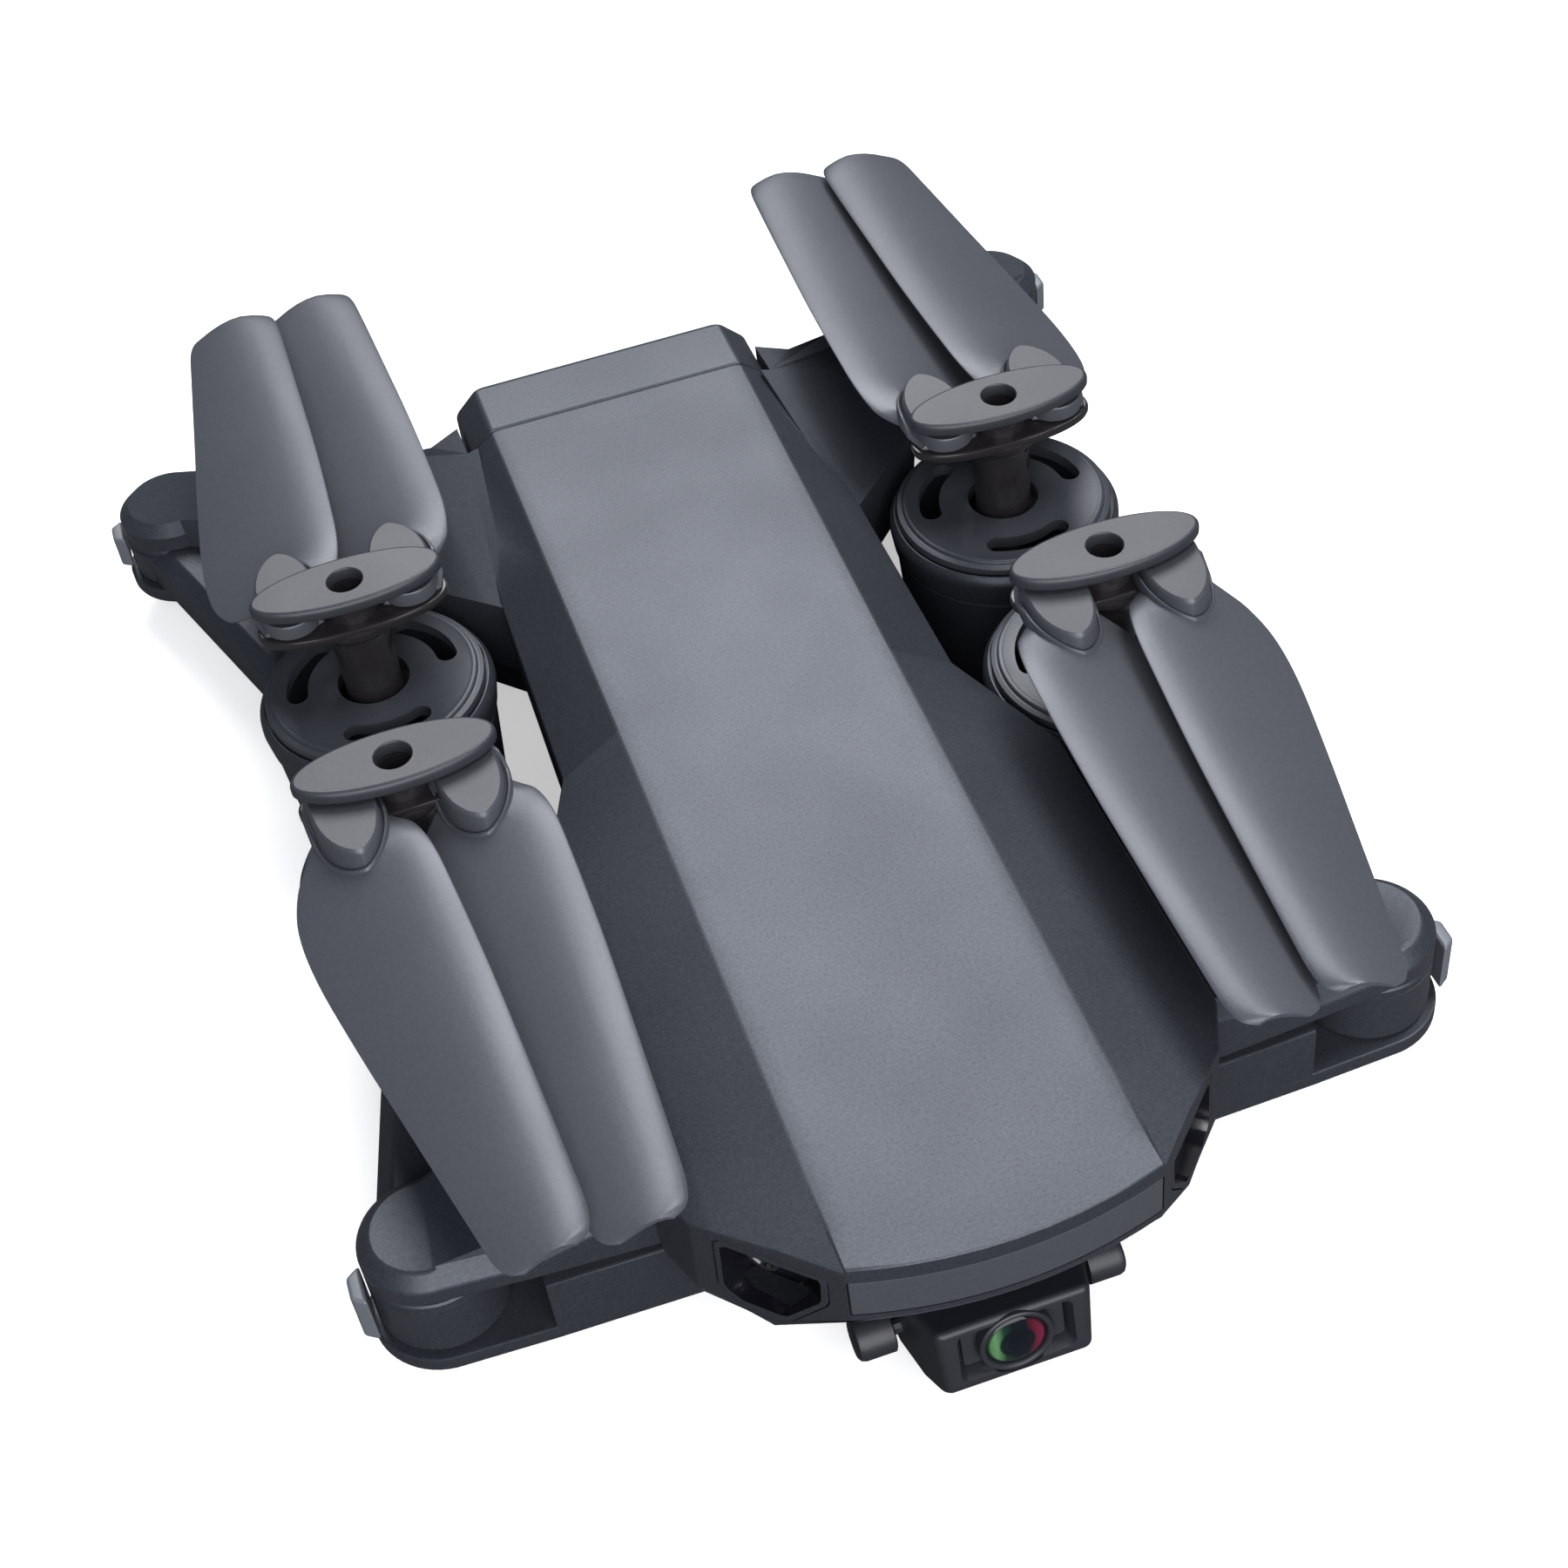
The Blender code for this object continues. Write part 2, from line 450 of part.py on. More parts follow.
# ---------------------------------------------------------------- arms, motors and propellers
def arm(corner, sign, hinge, pod, ear):
    """Hinge root, beam and motor pod in one moulding, turning about the hinge."""
    pivot = (sign * hinge[0], hinge[1], 0.0)
    top = ear[0] - GAP
    run = (Vector(pod) - Vector(hinge)).normalized()
    across_run = Vector((-run.y, run.x))
    start, end = Vector(hinge), Vector(pod) - run * 4.0
    section = [(-BEAM_HALF, ROOT_LOW), (BEAM_HALF, ROOT_LOW), (BEAM_HALF, top - 2.6), (BEAM_HALF - 2.6, top),
               (2.6 - BEAM_HALF, top), (-BEAM_HALF, top - 2.6)]
    beam = [[(sign * (p.x + across_run.x * w), p.y + across_run.y * w, z) for w, z in section] for p in (start, end)]
    body = make("arm_" + corner, beam, "shell_plastic", pivot)
    join(body, round_bar("root", (pivot[0], pivot[1]), BOSS_R, ROOT_LOW, top, "shell_plastic", pivot, ROUND))
    centre = (sign * pod[0], pod[1])
    cup = [(0.0, FOOT_Z), (POD_FOOT_R - 1.0, FOOT_Z), (POD_FOOT_R, FOOT_Z + 1.0), (POD_R - 0.7, 15.6),
           (POD_R - 0.3, 16.4), (POD_R, POD_RIM_Z - 1.6), (POD_R - 0.6, POD_RIM_Z - 0.2), (POD_R - 0.9, POD_RIM_Z),
           (0.0, POD_RIM_Z)]
    join(body, turned("pod", centre, cup, "shell_plastic", pivot))
    cut(body, turned("well", centre, [(0.0, -1.0), (14.4, -1.0), (14.4, COVER_Z[0] - GAP),
                                      (COVER_R + GAP, COVER_Z[0] - GAP), (COVER_R + GAP, POD_RIM_Z + 3.0),
                                      (0.0, POD_RIM_Z + 3.0)], "shell_plastic", pivot))
    cut(body, round_bar("pin_bore", (pivot[0], pivot[1]), PIN_R + GAP, 0.0, 20.0, "steel", pivot, SMALL_ROUND))
    round_bar("arm_pin_" + corner, (pivot[0], pivot[1]), PIN_R, 0.4, ear[2] - 2.6, "steel", count=SMALL_ROUND)
    lamp(corner, sign, hinge, ear, pivot)
    cover(corner, centre, pivot)
    motor(corner, centre, pivot)
    return centre


def lamp(corner, sign, hinge, ear, pivot):
    """Small light window standing on the outer side of the hinge root."""
    near, far = hinge[0] + BOSS_R + GAP, hinge[0] + BOSS_R + 2.2
    y = hinge[1] - 1.6 if hinge is FRONT_HINGE else hinge[1] + 1.6
    outline = side([(near, y - 3.0), (far, y - 1.7), (far, y + 1.7), (near, y + 3.0)], sign)
    prism("arm_lamp_" + corner, outline, 3.6, ear[0] - 0.8, "lamp_plastic", pivot)


def cover(corner, centre, pivot):
    """Slotted lid of the motor pod, with a hole for the hub's collar and three kidney slots."""
    profile = [(0.0, COVER_Z[0]), (COVER_R, COVER_Z[0]), (COVER_R, COVER_Z[1] - 0.7), (COVER_R - 0.7, COVER_Z[1]),
               (0.0, COVER_Z[1])]
    lid = turned("pod_cover_" + corner, centre, profile, "dark_plastic", pivot)
    cut(lid, round_bar("hub_hole", centre, 5.3, 18.0, 26.0, "dark_plastic", pivot))
    for turn in (-90.0, 30.0, 150.0):
        outline = arc(centre, 12.9, turn - 27.0, turn + 27.0, 5) + arc(centre, 9.7, turn + 27.0, turn - 27.0, 5)
        cut(lid, prism("slot", outline, 18.0, 26.0, "dark_plastic", pivot))


def motor(corner, centre, pivot):
    profile = [(0.0, -0.7), (11.0, -0.7), (12.0, 0.6), (12.0, 14.6), (11.0, 15.8), (4.0, 15.8), (4.0, 16.8),
               (0.0, 16.8)]
    can = turned("motor_" + corner, centre, profile, "motor_can", pivot, 14)
    cut(can, round_bar("shaft_bore", centre, 1.3, 11.0, 20.0, "motor_can", pivot, SMALL_ROUND))


def plate(centre, power, count=20):
    """Outline of a hub plate: an oval along X, blunter ends for a higher power."""
    points = []
    for i in range(count):
        a = 2.0 * math.pi * i / count
        c, s = math.cos(a), math.sin(a)
        points.append((centre[0] + PLATE_LENGTH / 2 * math.copysign(abs(c) ** (2.0 / power), c),
                       centre[1] + PLATE_WIDTH / 2 * math.copysign(abs(s) ** (2.0 / power), s)))
    return points


def propeller(corner, sign, centre, fold):
    """Collar and carrier plate, clamp plate, blade pins and two folding blades."""
    pivot = (centre[0], centre[1], 0.0)
    hub = prism("prop_hub_" + corner, plate(centre, 2.3), *CARRIER_Z, "dark_plastic", pivot)
    join(hub, round_bar("collar", centre, COLLAR_R, 17.2, 36.0, "dark_plastic", pivot, 14),
         round_bar("post", centre, 3.8, 36.0, CLAMP_Z[0] - GAP, "dark_plastic", pivot, 14),
         round_bar("shaft", centre, 1.0, 12.0, 18.0, "dark_plastic", pivot, 8))
    pins = [(centre[0] - BLADE_PIN_X, centre[1]), (centre[0] + BLADE_PIN_X, centre[1])]
    cut(hub, round_bar("recess", centre, 2.4, 36.8, 44.0, "dark_plastic", pivot, 14))
    cut(hub, *[round_bar("hole", pin, 1.5 + GAP, 30.0, 44.0, "dark_plastic", pivot, SMALL_ROUND) for pin in pins])
    clamp = prism("prop_clamp_" + corner, plate(centre, 2.0), *CLAMP_Z, "blade_plastic", pivot)
    cut(clamp, round_bar("recess", centre, 2.5, 36.0, 44.0, "blade_plastic", pivot, 14))
    peg = [(0.0, 33.9), (2.2, 33.9), (2.2, 35.2), (1.5, 35.2), (1.5, CLAMP_Z[0] + 0.6), (0.0, CLAMP_Z[0] + 0.6)]
    join(clamp, *[turned("peg", pin, peg, "blade_plastic", pivot, SMALL_ROUND) for pin in pins])
    end = corner.split("_")[0]
    for word, pin in (("inner", (centre[0] - sign * BLADE_PIN_X, centre[1])),
                      ("outer", (centre[0] + sign * BLADE_PIN_X, centre[1]))):
        blade(f"blade_{word}_{corner}", pin, sign, fold, BLADE_LEAN[end, word], TIP_GROWTH[end])


# Stations along a blade from its pin: distance, trailing and leading edge across the blade,
# height of each edge, and thickness.
BLADE = [(6.4, -6.0, 6.0, 34.6, 38.0, 1.5), (9.5, -9.4, 7.8, 32.4, 38.9, 1.4), (15.0, -10.9, 8.7, 31.7, 39.4, 1.3),
         (24.0, -11.0, 8.8, 31.7, 39.3, 1.2), (38.0, -9.6, 8.6, 32.2, 38.9, 1.1), (54.0, -7.6, 8.0, 33.0, 38.4, 1.0),
         (70.0, -5.6, 7.3, 33.9, 37.9, 0.9), (76.0, -4.6, 6.6, 34.3, 37.6, 0.9),
         (BLADE_REACH, -3.0, 4.8, 34.8, 37.2, 0.8)]


def blade_section(trail, lead, trail_z, lead_z, thick):
    """Thin cambered section between its trailing and leading edge, as (across, up)."""
    def at(t, lift):
        return (trail + (lead - trail) * t, trail_z + (lead_z - trail_z) * t + lift)
    return [at(0.0, 0.0), at(0.5, -0.3), at(1.0, -0.1), at(0.97, 0.4 * thick), at(0.5, thick), at(0.03, 0.6 * thick)]


def blade(name, pin, sign, fold, lean, growth):
    """A blade pointing along its fold direction, leaning towards the body, leading edge inboard."""
    pivot = (*pin, 0.0)
    turn = math.radians(lean)

    def placed(points):
        put = []
        for inboard, out, z in points:
            u = inboard * math.cos(turn) + out * math.sin(turn)
            v = out * math.cos(turn) - inboard * math.sin(turn)
            put.append((pin[0] - sign * u, pin[1] + fold * v, z))
        return put

    rings = []
    for out, trail, lead, *heights in BLADE:
        wider = growth * out / BLADE_REACH
        rings.append(placed([(u, out, z) for u, z in blade_section(trail - wider, lead + wider, *heights)]))
    body = make(name, rings, "blade_plastic", pivot)
    eye = circle((0.0, 0.0), 4.0, 14)
    shield = [(-4.3, 6.0), (-4.1, 8.0), (-3.0, 10.6), (0.0, 13.0), (3.0, 10.6), (4.1, 8.0), (4.3, 6.0)]
    neck = [(-3.6, 1.0), (-4.3, 6.4), (4.3, 6.4), (3.6, 1.0)]
    for outline, low in ((eye, BARREL_Z[0]), (neck, BARREL_Z[0]), (shield, 34.0)):
        rings = [placed([(u, v, z) for u, v in outline]) for z in (low, BARREL_Z[1])]
        join(body, make("root", rings, "blade_plastic", pivot))
    cut(body, round_bar("eye", pin, 1.5 + GAP, 30.0, 45.0, "steel", pivot, SMALL_ROUND))
    return body


def smooth_round_pieces():
    for obj in bpy.data.objects:
        if obj.type == "MESH":
            obj.data.shade_smooth()
            obj.data.set_sharp_from_angle(angle=math.radians(35.0))


def main():
    for obj in list(bpy.data.objects):
        bpy.data.objects.remove(obj)
    upper_shell()
    lower_shell()
    body_trim()
    battery()
    camera()
    for corner, (sign, hinge, pod, ear, fold) in CORNERS.items():
        centre = arm(corner, sign, hinge, pod, ear)
        propeller(corner, sign, centre, fold)
    smooth_round_pieces()


main()
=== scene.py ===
import json
import math

import bpy
from mathutils import Matrix, Vector


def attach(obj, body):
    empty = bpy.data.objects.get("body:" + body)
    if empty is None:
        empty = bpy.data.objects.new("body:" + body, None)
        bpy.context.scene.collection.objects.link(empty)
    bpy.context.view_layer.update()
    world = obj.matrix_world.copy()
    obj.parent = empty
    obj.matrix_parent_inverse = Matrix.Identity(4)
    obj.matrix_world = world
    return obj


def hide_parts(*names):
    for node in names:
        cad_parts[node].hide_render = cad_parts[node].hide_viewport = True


# %% [markdown]
# The model is a palm-sized quadcopter, folded for carrying: arms swung in beside the body, propeller
# blades swung in over the arms. Its hinges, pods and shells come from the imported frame, which is
# loaded first and never moved. Everything made here is fitted to that frame's own boxes and joints.

# %% Load the frame
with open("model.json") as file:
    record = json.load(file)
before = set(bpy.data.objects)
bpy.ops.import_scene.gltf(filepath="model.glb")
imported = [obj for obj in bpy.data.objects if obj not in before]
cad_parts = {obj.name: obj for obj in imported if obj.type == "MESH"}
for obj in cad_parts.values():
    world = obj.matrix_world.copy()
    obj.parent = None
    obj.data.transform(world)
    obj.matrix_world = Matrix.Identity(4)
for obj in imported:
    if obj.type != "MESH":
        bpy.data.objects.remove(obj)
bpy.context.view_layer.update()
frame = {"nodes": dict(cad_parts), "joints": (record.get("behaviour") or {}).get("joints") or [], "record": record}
MM = 0.001

# %% [markdown]
# The maker's drawing counts heights from the underside of the hinge brackets and lengths from a point
# on the body's middle line, so one shift turns its millimetres into the frame's metres. The shift is
# read off the front left hinge, whose place on the drawing is known.

# %% The drawing's place in the frame
joints = {joint["name"]: joint for joint in frame["joints"]}
hinge_place = Vector(joints["arm_fold_front_left"]["pos_m"])
SHIFT = hinge_place - Vector((63.0, -37.5, 0.0)) * MM
CORNERS = {"front_left": 1, "front_right": -1, "rear_left": 1, "rear_right": -1}


def place(x, y, z):
    """A point of the drawing, in the frame's metres."""
    return Vector((x, y, z)) * MM + SHIFT


print("drawing origin at", [round(v, 5) for v in SHIFT])

# %% [markdown]
# The camera looks down on the nose from the drone's right, nearly at forty-six degrees, and is tipped
# a little to one side, so the body runs across the picture on a slant.

# %% Camera
LENS_MM, SENSOR_MM = 57.08, 36.0
CAMERA_SPOT = (-51.4, -220.5, 265.3)
CAMERA_TURN = math.radians(-12.46)
CAMERA_HEIGHT = math.radians(45.74)
CAMERA_ROLL = math.radians(-7.93)
camera_data = bpy.data.cameras.new("studio_camera")
camera_data.lens = LENS_MM
camera_data.sensor_width = SENSOR_MM
camera = bpy.data.objects.new("studio_camera", camera_data)
bpy.context.scene.collection.objects.link(camera)
aim = (Matrix.Rotation(CAMERA_TURN, 4, "Z") @ Matrix.Rotation(math.pi / 2 - CAMERA_HEIGHT, 4, "X")
       @ Matrix.Rotation(CAMERA_ROLL, 4, "Z"))
camera.matrix_world = Matrix.Translation(place(*CAMERA_SPOT)) @ aim
bpy.context.scene.camera = camera
print("camera at", [round(v, 4) for v in camera.location])

# %% [markdown]
# The drone stands on a plain white sheet. A white floor would throw so much light back up that the
# nearly black walls of the body turned grey, so the floor's shader is mixed by ray: the camera meets
# white paper with a slight glow of its own, and every bounced ray meets a muted one. A Light Path node
# tells the two apart, and the object's own finishes never use it.

# %% Floor
FLOOR_SIZE = 6.0
FLOOR_WHITE = (0.9, 0.9, 0.9, 1.0)
FLOOR_GLOW = 0.50
FLOOR_BOUNCE = (0.10, 0.10, 0.10, 1.0)
WHITE = (1.0, 1.0, 1.0, 1.0)


def by_ray(tree, shown, lighting, output):
    """Send shown to the camera's rays and lighting to all others."""
    rays = tree.nodes.new("ShaderNodeLightPath")
    choice = tree.nodes.new("ShaderNodeMixShader")
    tree.links.new(rays.outputs["Is Camera Ray"], choice.inputs["Fac"])
    tree.links.new(lighting, choice.inputs[1])
    tree.links.new(shown, choice.inputs[2])
    tree.links.new(choice.outputs["Shader"], tree.nodes[output].inputs["Surface"])


bpy.ops.object.select_all(action="DESELECT")
bpy.ops.mesh.primitive_plane_add(size=FLOOR_SIZE, location=(0.0, 0.0, 0.0))
floor = bpy.context.object
floor.name = "studio_floor"
floor_finish = bpy.data.materials.new("studio_floor_paint")
floor_finish.use_nodes = True
paper = floor_finish.node_tree.nodes["Principled BSDF"]
paper.inputs["Base Color"].default_value = FLOOR_WHITE
paper.inputs["Roughness"].default_value = 0.9
paper.inputs["Emission Color"].default_value = WHITE
paper.inputs["Emission Strength"].default_value = FLOOR_GLOW
muted = floor_finish.node_tree.nodes.new("ShaderNodeBsdfDiffuse")
muted.inputs["Color"].default_value = FLOOR_BOUNCE
by_ray(floor_finish.node_tree, paper.outputs["BSDF"], muted.outputs["BSDF"], "Material Output")
floor.data.materials.append(floor_finish)
print("floor", FLOOR_SIZE, "m wide")

# %% [markdown]
# Satin paint shows its shape by what it mirrors. One panel stands behind the drone, where the flat deck
# mirrors it into the lens, so the deck is light and every sloping face beside it stays dark. A second
# panel above, to the drone's left, gives the blades their soft gradients. A third, wide and weak, in
# front, lifts the nose and the pods. Wide panels were chosen over strong ones, because a small strong
# one burns out on the deck when it is seen low from behind. The sky is a faint blue fill.

# %% Lights and sky
SKY_BLUE = (0.62, 0.74, 1.0, 1.0)
SKY_STRENGTH = 0.15
ORIGIN = (0.0, 0.0, 0.0)
PANELS = {  # place, side and power, in metres and watts
    "back_panel": ((0.16, 0.80, 0.95), 0.7, 12.0),
    "overhead": ((0.60, 0.05, 1.40), 0.6, 12.0),
    "front_panel": ((-0.05, -1.5, 0.60), 2.0, 52.0)}


def soft_light(name, spot, size, power):
    """A square area light at spot, aimed at the drone."""
    lamp_data = bpy.data.lights.new(name, "AREA")
    lamp_data.size = size
    lamp_data.energy = power
    lamp = bpy.data.objects.new(name, lamp_data)
    lamp.location = spot
    lamp.visible_camera = False
    lamp.rotation_euler = (Vector(ORIGIN) - Vector(spot)).to_track_quat("-Z", "Y").to_euler()
    bpy.context.scene.collection.objects.link(lamp)


for panel_name, (spot, size, power) in PANELS.items():
    soft_light(panel_name, spot, size, power)
world = bpy.data.worlds.new("studio_world")
world.use_nodes = True
sky_fill = world.node_tree.nodes["Background"]
sky_fill.inputs["Color"].default_value = SKY_BLUE
sky_fill.inputs["Strength"].default_value = SKY_STRENGTH
plain_sky = world.node_tree.nodes.new("ShaderNodeBackground")
plain_sky.inputs["Color"].default_value = WHITE
by_ray(world.node_tree, plain_sky.outputs["Background"], sky_fill.outputs["Background"], "World Output")
bpy.context.scene.world = world
bpy.context.scene.view_settings.view_transform = "Standard"
print(len(PANELS), "panels and a sky")

# %% [markdown]
# Most pieces here are mouldings whose outline changes from level to level. Each can be drawn as by hand:
# a circle primitive gives the first outline its points, the loop is extruded once per level, every loop
# is then set to its own outline, and the two ends are filled. Box modelling with insets would do it too,
# but lofting keeps the faces in neat rows, which bevel well, and its numbers read like a drawing. Bevels,
# joins and cuts are modifiers, applied at once, and weighted normals keep the broad faces flat.

# %% Shaping helpers
DOUBLES = 0.002 * MM
POLE_R = 0.004      # a pole's ring is this small, in millimetres, so that no ring is a single point


def alone(piece):
    """Back to object mode, with only this piece selected."""
    if bpy.context.mode != "OBJECT":
        bpy.ops.object.mode_set(mode="OBJECT")
    bpy.ops.object.select_all(action="DESELECT")
    piece.select_set(True)
    bpy.context.view_layer.objects.active = piece


def fill_loop(piece, points):
    """Close the loop that these vertices form with one face."""
    alone(piece)
    bpy.ops.object.mode_set(mode="EDIT")
    bpy.ops.mesh.select_mode(type="VERT")
    bpy.ops.mesh.select_all(action="DESELECT")
    bpy.ops.object.mode_set(mode="OBJECT")
    for number in points:
        piece.data.vertices[number].select = True
    bpy.ops.object.mode_set(mode="EDIT")
    bpy.ops.mesh.edge_face_add()
    bpy.ops.object.mode_set(mode="OBJECT")


def lofted(name, rings):
    """A closed solid through rings of equal length, given as points of the drawing."""
    count = len(rings[0])
    if bpy.context.object:
        alone(bpy.context.object)
    bpy.ops.object.select_all(action="DESELECT")
    bpy.ops.mesh.primitive_circle_add(vertices=count, radius=MM)
    piece = bpy.context.object
    piece.name = name
    bpy.ops.object.mode_set(mode="EDIT")
    for _ in rings[1:]:
        bpy.ops.mesh.extrude_edges_move()
    bpy.ops.object.mode_set(mode="OBJECT")
    for vertex, point in zip(piece.data.vertices, [point for ring in rings for point in ring]):
        vertex.co = place(*point)
    fill_loop(piece, range(count))
    fill_loop(piece, range(count * (len(rings) - 1), count * len(rings)))
    bpy.ops.object.mode_set(mode="EDIT")
    bpy.ops.mesh.select_all(action="SELECT")
    bpy.ops.mesh.remove_doubles(threshold=DOUBLES)
    bpy.ops.mesh.normals_make_consistent(inside=False)
    bpy.ops.object.mode_set(mode="OBJECT")
    return piece


def use_modifier(piece, kind, **settings):
    """Add a modifier, set it and apply it."""
    alone(piece)
    step = piece.modifiers.new(kind.lower(), kind)
    for word, value in settings.items():
        setattr(step, word, value)
    bpy.ops.object.modifier_apply(modifier=step.name)


def rounded(piece, width, segments=3, angle=25.0):
    """Round every edge sharper than angle degrees, by width in millimetres."""
    use_modifier(piece, "BEVEL", width=width * MM, segments=segments, limit_method="ANGLE",
                 angle_limit=math.radians(angle))


def merged(piece, tool, operation="UNION"):
    """Join a second solid to the piece, or cut it away, for good."""
    use_modifier(piece, "BOOLEAN", operation=operation, object=tool, solver="EXACT")
    bpy.data.objects.remove(tool)


def smooth(piece, angle=35.0):
    """Shade smooth below angle degrees, with the broad faces keeping their own flat shading."""
    alone(piece)
    bpy.ops.object.shade_smooth_by_angle(angle=math.radians(angle))
    use_modifier(piece, "WEIGHTED_NORMAL", keep_sharp=True, weight=100)


def arc(centre, radius, start, end, count):
    """Points on an arc, in degrees, both ends included."""
    turns = [math.radians(start + (end - start) * i / (count - 1)) for i in range(count)]
    return [(centre[0] + radius * math.cos(a), centre[1] + radius * math.sin(a)) for a in turns]


def circle(centre, radius, count=48):
    """Points all round a circle, from its +X side."""
    return arc(centre, radius, 0.0, 360.0 * (count - 1) / count, count)


def level(outline, z):
    """A flat outline put at one height."""
    return [(x, y, z) for x, y in outline]


def turned(name, centre, profile, count=96):
    """A solid of revolution about the vertical through centre, from a profile of (radius, height)."""
    return lofted(name, [level(circle(centre, max(radius, POLE_R), count), z) for radius, z in profile])


print("helpers ready")

# %% [markdown]
# Every visible plastic on this drone is moulded and sprayed: a blue-grey paint with a little metal flake
# on the shells, a smoother grey on the blades, and bare black mouldings for the hubs. One recipe covers
# them all: fine noise makes the speckle and its bump, and a coarser noise makes the sheen drift. Both
# read Object coordinates in metres, so the flake has the same size on every piece. A flat colour with one
# roughness would be simpler, but sprayed plastic never looks that even.

# %% Paint recipe
SHEEN_DRIFT = 0.03


def new_finish(name):
    """A new node material, with its tree and its shader."""
    finish = bpy.data.materials.new(name)
    finish.use_nodes = True
    return finish, finish.node_tree, finish.node_tree.nodes["Principled BSDF"]


def add_node(tree, kind, **values):
    """A new node with some of its inputs set."""
    made = tree.nodes.new(kind)
    for word, value in values.items():
        made.inputs[word].default_value = value
    return made


def ramp(tree, source, stops):
    """A colour ramp fed by source, with stops of (place, colour)."""
    made = tree.nodes.new("ShaderNodeValToRGB")
    while len(made.color_ramp.elements) < len(stops):
        made.color_ramp.elements.new(0.5)
    for element, (spot, colour) in zip(made.color_ramp.elements, stops):
        element.position = spot
        element.color = (*colour, 1.0)
    tree.links.new(source, made.inputs["Fac"])
    return made


def painted(name, colour, roughness, metallic=0.0, speckle=0.12, grain=2600.0, depth=0.02, coat=0.0):
    """Sprayed or bare moulded plastic, in one colour with a fine speckle."""
    finish, tree, shader = new_finish(name)
    where = tree.nodes.new("ShaderNodeTexCoord")
    fine = add_node(tree, "ShaderNodeTexNoise", Scale=grain, Detail=3.0, Roughness=0.7)
    drift = add_node(tree, "ShaderNodeTexNoise", Scale=45.0, Detail=2.0)
    for noise in (fine, drift):
        tree.links.new(where.outputs["Object"], noise.inputs["Vector"])
    dark = tuple(c * (1.0 - speckle) for c in colour)
    light = tuple(min(c * (1.0 + speckle), 1.0) for c in colour)
    tint = ramp(tree, fine.outputs["Fac"], [(0.3, dark), (0.7, light)])
    satin, dull = (roughness - SHEEN_DRIFT,) * 3, (roughness + SHEEN_DRIFT,) * 3
    gloss = ramp(tree, drift.outputs["Fac"], [(0.3, satin), (0.7, dull)])
    bump = add_node(tree, "ShaderNodeBump", Strength=0.6, Distance=depth * MM)
    tree.links.new(fine.outputs["Fac"], bump.inputs["Height"])
    tree.links.new(tint.outputs["Color"], shader.inputs["Base Color"])
    tree.links.new(gloss.outputs["Color"], shader.inputs["Roughness"])
    tree.links.new(bump.outputs["Normal"], shader.inputs["Normal"])
    shader.inputs["Metallic"].default_value = metallic
    shader.inputs["Coat Weight"].default_value = coat
    shader.inputs["Coat Roughness"].default_value = 0.2
    return finish


print("paint recipe ready")

# %% [markdown]
# The lens is the one spot of colour: dark glass with painted reflections, green on one side and red on the
# other, round a dark pupil with a fine pale ring that is painted reflection too. The painted colours follow
# the place across the glass and the rings follow the distance from its middle, so a Mapping node first moves
# the pattern's centre onto the lens axis. The face that the lens sits in leans back a little, and face_point
# keeps that lean in one place.

# %% Lens with painted reflections
GLASS_R = 3.85
TILT_AXIS = (-62.0, 1.3)
LENS_TILT = math.radians(9.0)
FACE_AHEAD, FACE_ABOVE = 10.45, 5.3     # from the tilt axis to the middle of the face


def face_point(u, v, out):
    """A point on the camera's face: across, up the face, and out towards the scene."""
    y = TILT_AXIS[0] - FACE_AHEAD + v * math.sin(LENS_TILT) - out * math.cos(LENS_TILT)
    z = TILT_AXIS[1] + FACE_ABOVE + v * math.cos(LENS_TILT) + out * math.sin(LENS_TILT)
    return (u, y, z)


def grey(value):
    return (value,) * 3


